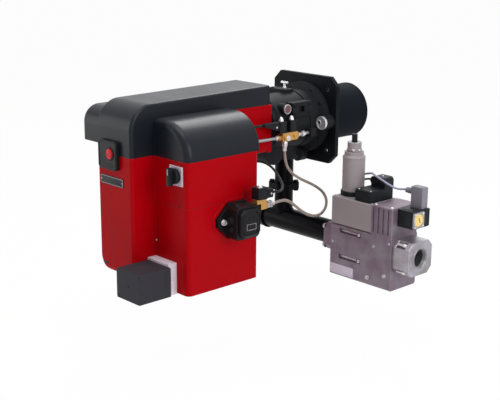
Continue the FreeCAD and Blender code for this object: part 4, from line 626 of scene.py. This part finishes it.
makeGroup("housings", {
    "namePlate": {"slot": "latch_black", "parts": [("slab", plateFace, panel(86, 21, 1.5), 1.3)]},
    "namePlateBorder": {"slot": "selector_light", "parts": [
        ("rim", plateFace, panel(83, 18, 1.2), 0.8, 1.6, 0.1),
        *[("screw", beside(plateFace, side * 38.5, out=1.3), 1.5, 0.7) for side in (-1, 1)]]},
    "housingJoint": {"slot": "latch_black", "parts": [
        ("slab", ("rear", housingRear, 19, -189), panel(0.7, 192, 0.3), 0.12, 0.05),
        ("slab", ("rear", boxRear, -113, boxSeam), panel(100, 0.7, 0.3), 0.12, 0.05),
        ("slab", ("side", -450.5, -178, boxSeam), panel(188, 0.7, 0.3), 0.12, 0.05)]},
    # a black oblong stands for the drain's opening: painted shade
    "rearDrainShade": {"slot": "latch_black", "parts": [
        ("slab", ("rear", housingRear, 46, -281), panel(20, 6, 2.9), 0.3, 0.1)]},
    # thin beads along the box's joint with the housing; their pale edges carry a painted highlight line
    "boxJointHighlightBead": {"slot": "housing_red", "parts": [
        ("slab", ("rear", boxRear, -62, -134), panel(2.4, 230, 1), 0.7)]},
    "coverJointHighlightBead": {"slot": "hood_black", "body": "control_cover", "parts": [
        ("slab", ("rear", boxRear, -62.4, 12), panel(2.4, 56, 1), 0.7)]},
    "boxPlugs": {"slot": "latch_black", "parts": [
        ("slab", ("rear", boxRear, -150, -117), circle(2.8), 0.6), ("slab", boxPlug, circle(3.2), 0.8)]},
    "boxScrews": {"slot": "bright_steel", "parts": [
        ("screw", beside(boxPlug, out=0.6), 2.2, 1.0),
        *[("screw", place, 3.4, 2.0) for place in corners(boxFront, 45, 130)]]},
    "casingScrews": {"slot": "bright_steel", "parts": [
        ("screw", ("left", x, 63, z), 4.2, 2.4, "hex") for x, z in casingScrews]},
    "latchRim": {"slot": "latch_black", "body": "hood", "parts": [
        ("rim", latchFace, panel(64, 61, 7), 2.2, 0.9),
        ("rim", beside(latchFace, 9.5, 4), circle(16), 2.0, 1.3),
        *[("slab", beside(latchFace, up=-19 - 3.4 * step), panel(40, 1.5, 0.7), 0.7) for step in range(3)]]},
    "lockRing": {"slot": "lock_red", "body": "lock", "parts": [
        ("rim", lockFace, circle(8.4), 1.5, 0.6), ("slab", lockFace, circle(3.6), 0.5)]},
    # a black strip stands for the key slot: painted shade
    "lockSlotShade": {"slot": "latch_black", "body": "lock", "parts": [
        ("slab", beside(lockFace, out=0.5), panel(1.1, 6, 0.5), 0.2, 0.1)]},
})

# Control hood's switch
selectorFace = ("rear", -561, -141, -50)

makeGroup("switch", {
    "selectorBorder": {"slot": "selector_light", "parts": [
        ("rim", selectorFace, panel(42.5, 42.5, 3), 1.2, 0.8)]},
    "selectorScrews": {"slot": "bright_steel", "parts": [
        ("screw", place, 1.9, 0.9) for place in corners(selectorFace, 18, 18)]},
    "selectorTicks": {"slot": "latch_black", "parts": [
        ("slab", place, panel(0.9, 2.4, 0.3), 0.3, 0.1)
        for place in dialPlaces(selectorFace, 19.2, (-60, -30, 0, 30, 60))]},
    "selectorSkirt": {"slot": "latch_black", "body": "selector", "parts": [
        ("fluted", beside(selectorFace, out=3.5), 17.6, 5.5, 30, 0.7)]},
    "selectorPointer": {"slot": "selector_light", "body": "selector", "parts": [
        ("slab", beside(selectorFace, up=11, out=23.3), panel(1.8, 14, 0.6), 0.4, 0.15)]},
})

# Damper's servomotor
servoRear = ("rear", -669, -103.5, -291.5)
servoPlate = ("side", -570, -137, -284)

makeGroup("servomotor", {
    "servoJoint": {"slot": "latch_black", "parts": [
        ("slab", ("side", -596, -146, -291.5), panel(0.8, 66, 0.3), *hairline),
        ("slab", ("top", -596, -103.5, -257), panel(0.8, 82, 0.3), *hairline)]},
    "servoScrews": {"slot": "servo_charcoal", "parts": [
        ("screw", servoRear, 3.0, 0.9),
        *[("screw", beside(servoRear, end * 35.5, end * 28.5), 2.4, 0.8) for end in (1, -1)]]},
    "servoEntries": {"slot": "servo_light", "parts": [
        ("rim", beside(servoPlate, up=16), circle(4.6), 1.0, 0.7), ("rim", servoPlate, circle(4.6), 1.0, 0.7),
        ("slab", beside(servoPlate, up=-22), panel(14, 22, 1), 0.6)]},
    "servoPlateScrews": {"slot": "bright_steel", "parts": [
        ("screw", ("top", -570, y, -252), 2.6, 1.4) for y in (-128, -72)]},
})

# Oil pump with its coil and union
fanX, fanZ = -421, -165  # the fan's axis, which the pump and the motor sit on
pumpFlangeY = -190
pumpCover = ("side", fanX, -237, fanZ)
coilTop = ("top", -383.5, -223, -90)
unionLine = (-222, -134)

makeGroup("pump", {
    "pumpHexBolts": {"slot": "bright_steel", "replaces": ["pump_bolts"], "parts": [
        ("bolt", ("side", x, pumpFlangeY, fanZ, turn), 11.5, 6)
        for x, turn in ((fanX - 42, 10), (fanX + 42, 25))]},
    "pumpCoverRelief": {"slot": "pump_black", "parts": [
        ("rim", pumpCover, panel(50, 54, 8), 1.6, 0.9),
        ("rim", beside(pumpCover, up=12), circle(8), 1.3, 0.9)]},
    "pumpCoverScrews": {"slot": "pump_black", "parts": [
        ("screw", place, 3.6, 2.6, "hex") for place in corners(pumpCover, 20.5, 21.5)]},
    "pumpPlateBorder": {"slot": "selector_light", "parts": [
        ("rim", beside(pumpCover, up=-8), panel(28, 14, 1.5), 0.6, 0.3, 0.1)]},
    "pumpPlugs": {"slot": "pump_black", "parts": [
        ("bolt", ("top", -441, -208, -127), 12, 5), ("bolt", ("rear", -456, -208, -158), 13, 6),
        ("bolt", ("front", -386, -208, -172, 12), 13, 6), ("bolt", ("rear", -456, -208, -180), 10, 5)]},
    "pumpPorts": {"slot": "plate_steel", "parts": [
        ("rim", ("under", x, -208, -203), circle(10), 3.2, 2.0) for x in (-436, -406)]},
    "pumpFlangeLip": {"slot": "pump_black", "parts": [
        ("rim", ("side", fanX, pumpFlangeY, fanZ), circle(35), 2.2, 1.6)]},
    "coilRetainer": {"slot": "bright_steel", "parts": [("bolt", coilTop, 10, 4.2, 0.8)]},
    "coilShell": {"slot": "coil_black", "parts": [
        ("rim", coilTop, panel(25, 24, 3.5), 1.4, 1.0),
        ("rim", ("side", -383.5, -237, -103), panel(24, 21, 2.5), 1.2, 0.7),
        ("rim", ("top", -359.5, -223, -96), panel(17, 17, 2), 1.1, 0.8),
        ("turned", ("front", -350, -223, -107), [
            (6.4, -sunk), (6.4, 3.4), (5.2, 4.6), (4.3, 8.4), (3.4, 9.0)])]},
    "connectorScrew": {"slot": "selector_light", "parts": [
        ("screw", ("side", -356, -233, -107), 2.5, 1.2, "slot")]},
    "unionNuts": {"slot": "plate_steel", "parts": [
        ("nut", ("front", -362.5, *unionLine), 15.6, 9.5),
        ("nut", ("front", -352.4, *unionLine, 17), 16.2, 5.6)]},
    "hoseStartSleeve": {"slot": "bright_steel", "parts": [
        ("turned", ("front", -347, *unionLine), [
            (5.6, -sunk), (5.6, 2), (4.7, 2.6), (4.7, 9), (4.3, 9.8), (3.6, 10)])]},
})

# Oil valves beside the head
oilY, pipeZ, coilZ = -82, -23, 17
coilPlaces = (-142, -178)
hoseEnd = ("under", -164.5, oilY)

makeGroup("oil valves", {
    "coilConeNuts": {"slot": "bright_steel", "replaces": ["coil_nuts"], "parts": [
        part for x in coilPlaces for part in (
            ("bolt", ("top", x, oilY, coilZ, 8), 11.5, 4.6, 0),
            ("turned", ("top", x, oilY, coilZ), [
                (5.2, 4.2), (5.2, 5.2), (4.4, 7.8), (3.0, 10.2), (1.6, 11.0)], 32))]},
    "coilCaps": {"slot": "coil_black", "parts": [
        part for x in coilPlaces for part in (
            ("rim", ("top", x, oilY, coilZ), panel(21.5, 17.5, 2.5), 1.4, 0.8),
            ("rim", ("side", x, -92, 2.5), panel(19, 23, 2), 1.1, 0.7))]},
    "oilUnions": {"slot": "brass", "parts": [
        ("nut", ("front", -190.2, oilY, pipeZ), 14.8, 9.4),
        ("nut", ("front", -129.2, oilY, pipeZ, 20), 14.8, 9.4),
        ("bolt", ("side", -172, -92, pipeZ), 9, 3.4, 0), ("bolt", ("side", -138, -92, -22, 14), 10, 3.2, 0),
        ("nut", ("under", -152, oilY, -30), 11, 5)]},
    "oilFerrules": {"slot": "bright_steel", "parts": [
        ("nut", ("side", -164.5, -91.7, -25), 13, 4.4),
        ("turned", ("front", -196, oilY, pipeZ), [(4.3, 0), (5.4, 1.2), (5.4, 5.8)], 32),
        ("turned", ("front", -119.9, oilY, pipeZ), [(5.4, 0), (5.4, 5), (4.3, 6.4)], 32),
        ("nut", ("rear", -96, oilY, pipeZ), 12.6, 9)]},
    "hoseEndNut": {"slot": "bright_steel", "parts": [
        ("turned", (*hoseEnd, -34), [(6.4, 0), (7.2, 2), (7.4, 6), (7.0, 9.5), (6.2, 12.5), (6.2, 15)]),
        ("turned", (*hoseEnd, -49), [(5.6, 0), (4.8, 1.6), (4.8, 9), (4.3, 10), (3.6, 10.2)])]},
    "plugScrew": {"slot": "bright_steel", "parts": [("screw", ("side", -199, -89, 5), 2.4, 1.2, "slot")]},
})

# Mixing head, flange and blast tube
clampY, clampSocketY = 91.3, 83.3
socketPad = ("side", -103, -80, 39.5)
ringTurns = (32, 62, 118, 148, 212, 242, 298, 328)

makeGroup("head", {
    "clampFaces": {"slot": "bright_steel", "parts": [
        part for side in (-1, 1) for part in (
            ("rim", ("rear", -44, side * clampY, -2), circle(16.9), 2.4, 0.9),
            ("rim", ("rear", -44, side * clampSocketY, -2), circle(7.4), 2.4, 0.9))]},
    # black discs stand for the clamp sockets' hollows: painted shade
    "clampSocketShade": {"slot": "latch_black", "parts": [
        ("slab", ("rear", -41.2, side * clampSocketY, -2), circle(4.4), 0.5) for side in (-1, 1)]},
    "sightBezel": {"slot": "plate_steel", "parts": [
        ("rim", ("side", -150, -73.5, 43), circle(12.2), 2.4, 3.6)]},
    "padScrews": {"slot": "head_dark", "parts": [
        *[("screw", place, 3.6, 3, "hex") for place in corners(socketPad, 25, 10.5)],
        ("rim", beside(socketPad, 0.5), panel(20, 20, 2.5), 2.2, 1.2)]},
    "headRibs": {"slot": "head_dark", "parts": [
        ("rim", ("front", -64, 0, 0), circle(75.4), 5, 5, 1.2),
        ("rim", ("front", -176, 0, 0), circle(72.6), 5, 6, 1.2)]},
    "ringBolts": {"slot": "head_dark", "parts": [
        ("bolt", ("rear", -26, *swing(84, turn), turn), 10, 5) for turn in ringTurns]},
    "barScrews": {"slot": "head_dark", "parts": [
        ("screw", ("top", x, 34, 80), 3.2, 2.4, "hex") for x in (-96, -76)]},
    "thumbHandle": {"slot": "bright_steel", "body": "thumb", "replaces": ["thumb_screw"], "parts": [
        ("turned", ("top", -86, 0, 69.5), [
            (3.0, 0), (3.0, 12), (4.6, 12.6), (4.6, 15), (3.2, 16), (3.2, 27)], 32),
        ("turned", ("left", -86, -11.5, 95.9), [
            (2.6, 0), (3.4, 0.7), (3.6, 2), (3.2, 6), (3.2, 17), (3.6, 21), (3.4, 22.3), (2.6, 23)], 32)]},
    "tubeLip": {"slot": "tube_black", "parts": [
        ("rim", ("front", 150, 0, 0), circle(72.9, 96), 1.4, 8.6, 0.8),
        ("rim", ("front", 3, 0, 0), circle(72.9, 96), 1.0, 3, 0.3)]},
})

# Gas pipes and their joint
riserX, manifoldZ = -83, -265
wholeTurn = range(0, 360, 6)
earPlaces = [(riserX + x, y) for x, y in (swing(31.5, turn) for turn in (130, -50))]
saddleWeld = [(x, y, math.sqrt(30.6 ** 2 - x ** 2)) for x, y in (swing(24.8, turn) for turn in wholeTurn)]
jointWeld = [(*swing(25, turn), 0) for turn in wholeTurn]

makeGroup("gas pipes", {
    "jointBolts": {"slot": "pipe_black", "replaces": ["riser_bolts"], "parts": [
        part for x, y in earPlaces for part in (
            ("bolt", ("top", x, y, -166, 9), 12.2, 6, 1.4), ("bolt", ("under", x, y, -182, 21), 12.2, 6, 1.4),
            ("turned", ("top", x, y, -182), [(4, -1), (4, 17)], 24))]},
    "pipeWelds": {"slot": "pipe_black", "parts": [
        ("weld", ("top", riserX, 0, manifoldZ), saddleWeld, 2.4),
        *[("weld", ("top", riserX, 0, z), jointWeld, 1.9) for z in (-165.4, -182.8)]]},
    "pipeThread": {"slot": "pipe_black", "parts": [
        ("rim", ("side", riserX, -180.6 + 3.2 * step, manifoldZ), circle(31.2), 1.6, 1.6, 0.5)
        for step in range(4)]},
    "capHead": {"slot": "pipe_black", "parts": [
        ("nut", ("left", riserX, 69.5, manifoldZ), 30, 9),
        ("rim", ("left", riserX, 50, manifoldZ), circle(35.2), 3, 4, 1)]},
})

# Gas valve, its cover, tower, plugs and pressure switch
valveRear, slotFloor, coverTop, columnTop = -131, -124, -153, -151
slotLevels = (-236, -302)
coverCorners = ((-124, -221), (-124, -337), (-42, -337))
columnCorners = ((-123, -349), (-43, -349), (-123, -397))
valvePlate = ("rear", valveRear, -253, -336)
inletEnd = ("side", riserX, -454, -268)
inletJoint = ("side", riserX, -414, -268)
tower = ("top", -85, -242)
switchFace = ("side", -94, -455, -173.5)
dialFace = ("side", -94, -455.3, -173.5)


def threadTurns(steps):
    # the inlet's thread, one turn after another from its mouth inwards
    return [beside(inletEnd, out=-2.5 - 2.3 * step) for step in steps]


makeGroup("gas valve", {
    "valveSlotEdges": {"slot": "valve_grey", "parts": [
        ("rim", ("rear", valveRear, -276, z), panel(74, 15.5, 2), 1.4, 0.5, 0.2) for z in slotLevels]},
    "valveSlides": {"slot": "plate_steel", "parts": [
        ("slab", ("rear", slotFloor, -268, z), panel(50, 6, 1), 1.6) for z in slotLevels]},
    "valveSlotScrews": {"slot": "bright_steel", "parts": [
        ("screw", ("rear", slotFloor, -304, z), 4.8, 6.4, "hex") for z in slotLevels]},
    "valvePlate": {"slot": "selector_light", "parts": [("slab", valvePlate, panel(74, 24, 1.5), 0.7)]},
    "valvePlateRivets": {"slot": "bright_steel", "parts": [
        ("slab", beside(valvePlate, side * 33, out=0.7), circle(1.6), 0.6) for side in (-1, 1)]},
    "valveTaps": {"slot": "plate_steel", "parts": [
        ("bolt", ("rear", valveRear, -336, -334), 9, 4), ("bolt", ("rear", valveRear, -388, -318, 12), 8, 4),
        ("screw", ("rear", valveRear, -352, -252), 4, 1.6),
        *[("screw", ("rear", valveRear, y, z), 3.4, 1.4) for y, z in ((-398, -236), (-222, -268))]]},
    "outletBolts": {"slot": "plate_steel", "parts": [
        ("bolt", place, 12, 7) for place in corners(("left", riserX, -184, manifoldZ), 32, 24)]},
    "coverScrews": {"slot": "plate_steel", "parts": [
        ("screw", ("top", *place, coverTop), 3.2, 1.8) for place in coverCorners]},
    "columnScrews": {"slot": "bright_steel", "parts": [
        ("screw", ("top", *place, columnTop), 3.6, 2.2, "hex") for place in columnCorners]},
    "coverJoint": {"slot": "latch_black", "parts": [
        ("slab", ("rear", valveRear, -277.5, -221), panel(126, 0.9, 0.4), *hairline)]},
    "inletThread": {"slot": "plate_steel", "parts": [
        ("rim", place, circle(23.2), 1.5, 1.3, 0.4) for place in threadTurns(range(4))]},
    # deeper turns of thread in a darker grey: painted shade inside the bore
    "inletShadedThread": {"slot": "motor_grey", "parts": [
        ("rim", place, circle(23.2), 1.5, 1.6, 0.4) for place in threadTurns(range(4, 13))]},
    # a black disc at the bore's bottom: painted shadow
    "inletShadowDisc": {"slot": "ring_black", "parts": [("slab", beside(inletEnd, out=-30), circle(22.6), 2)]},
    "inletLip": {"slot": "inlet_silver", "parts": [
        ("rim", inletEnd, circle(29), 3.4, 1.0), ("rim", inletEnd, circle(24.6), 1.4, 1.4)]},
    "inletScrews": {"slot": "bright_steel", "replaces": ["valve_screws"], "parts": [
        *[("turned", place, [(3.4, 0), (3.4, 17)], 24) for place in corners(inletJoint, 34, 33)],
        *[("screw", place, 4.6, 9, "hex") for place in corners(inletJoint, 34, 33, out=17)]]},
    "towerBands": {"slot": "cover_grey", "parts": [
        ("rim", (*tower, -141), circle(27.9), 1, 3, 0.4), ("rim", (*tower, -61), circle(27.9), 1, 3.5, 0.6),
        ("rim", (*tower, -43), circle(17.7), 1.2, 4, 0.4)]},
    "towerCap": {"slot": "inlet_silver", "parts": [
        ("nut", (*tower, -45), 33.5, 8), ("rim", (*tower, -23), circle(17.2), 8, 1.6)]},
    "towerRingFlutes": {"slot": "ring_black", "parts": [("rim", (*tower, -143.4), circle(30.4), 2.6, 1.2)]},
    "regulatorKnob": {"slot": "ring_black", "body": "regulator", "replaces": ["tower_knob"], "parts": [
        ("fluted", (*tower, -26), 7, 24, 18, 0.6), ("turned", (*tower, -28.7), [(6.6, 0), (6.6, 4)], 32)]},
    "valvePlugLid": {"slot": "plug_black", "parts": [
        ("rim", ("top", -104, -308, -125), panel(38, 44, 3), 1.3, 0.8),
        ("slab", ("rear", -126, -308, -139), panel(44, 1.2, 0.5), 0.5, 0.2),
        ("slab", ("side", -84, -333, -139), panel(78, 1.2, 0.5), 0.5, 0.2),
        ("rim", ("left", -52, -276, -115), circle(8.5), 2.4, 1.6),
        ("slab", ("rear", -75, -312, -112), panel(32, 14, 2), 0.8)]},
    "valvePlugScrews": {"slot": "bright_steel", "parts": [
        ("screw", ("top", -118, -290, -125), 2.2, 1.2), ("screw", ("top", -118, -326, -125), 2.2, 1.2),
        ("screw", ("top", -58, -312, -99), 2.4, 1.0, "slot")]},
    "greyPlugTrim": {"slot": "plug_grey", "parts": [
        ("rim", ("left", -64, -393, -117), circle(6.6), 1.8, 2),
        ("rim", ("top", -64, -428.5, -103), panel(18, 31, 2.5), 1.2, 0.8),
        ("slab", ("rear", -75, -428.5, -146), panel(36, 1.2, 0.5), 0.5, 0.2),
        *[("rim", ("left", -64, -405 + 3.4 * step, -117), circle(7.1), 1.0, 1.4) for step in range(3)]]},
    "switchScrews": {"slot": "bright_steel", "parts": [
        ("screw", place, 1.7, 0.8) for place in corners(switchFace, 15.2, 15.2)]},
    "switchTrim": {"slot": "switch_grey", "parts": [
        ("slab", ("rear", -112, -428, -173), panel(32, 30, 3), 1.0),
        ("rim", ("side", -61, -450, -173.5), panel(17, 36, 2), 1.4, 1.0),
        ("slab", ("top", -96, -428, -152), panel(20, 32, 2), 1.0)]},
    "dialTicks": {"slot": "latch_black", "body": "dial", "parts": [
        *[("slab", place, panel(0.6, 2.6, 0.25), 0.25, 0.1)
          for place in dialPlaces(dialFace, 11.2, range(-135, 136, 30))],
        ("slab", (*dialFace, 20), panel(2.0, 13, 0.9), 0.8)]},
    "coverGlands": {"slot": "plug_black", "parts": [
        ("turned", ("top", -46, y, coverTop), [
            (5.7, -sunk), (5.7, 3), (5.3, 3.6), (5.3, 8.4), (3.2, 9.6)], 32) for y in (-231.5, -220)]},
})

# Motor, on the burner's left side
motorFace, cowlEnd, terminalY = 71, 170.5, 98

makeGroup("motor", {
    "motorCowl": {"slot": "motor_grey", "parts": [
        ("turned", ("left", fanX, 0, fanZ), [
            (66, 122), (67, 123), (67, 156), (65, 160.5), (52, 169.5), (50, cowlEnd), (30, cowlEnd), (30, 169),
            (49.5, 169), (64, 158), (65, 155), (65, 122)], 96, True)]},
    # black slabs stand for the cowl's air slots: painted shade in the openings
    "motorAirSlotShade": {"slot": "latch_black", "parts": [
        ("slab", place, panel(4, 15, 1.9), 0.3, 0.1)
        for place in dialPlaces(("left", fanX, cowlEnd, fanZ), 40, range(0, 360, 18))]},
    "motorBolts": {"slot": "plate_steel", "parts": [
        ("bolt", place, 8, 5, 0) for place in corners(("left", fanX, motorFace, fanZ), 52.4, 40.2)]},
    "terminalBox": {"slot": "motor_grey", "parts": [
        ("slab", ("top", fanX, terminalY, -114), panel(56, 44, 5), 26, 2),
        ("slab", ("top", fanX, terminalY, -88), panel(60, 48, 6), 7, 1.6)]},
    "terminalScrews": {"slot": "bright_steel", "parts": [
        ("screw", place, 2.6, 1.4) for place in corners(("top", fanX, terminalY, -81), 24, 18)]},
    "terminalGland": {"slot": "plug_black", "parts": [
        ("nut", ("rear", -449, terminalY, -98), 16, 7),
        ("turned", ("rear", -455, terminalY, -98), [(6.5, 0), (6.5, 5), (4.5, 9)], 32)]},
})
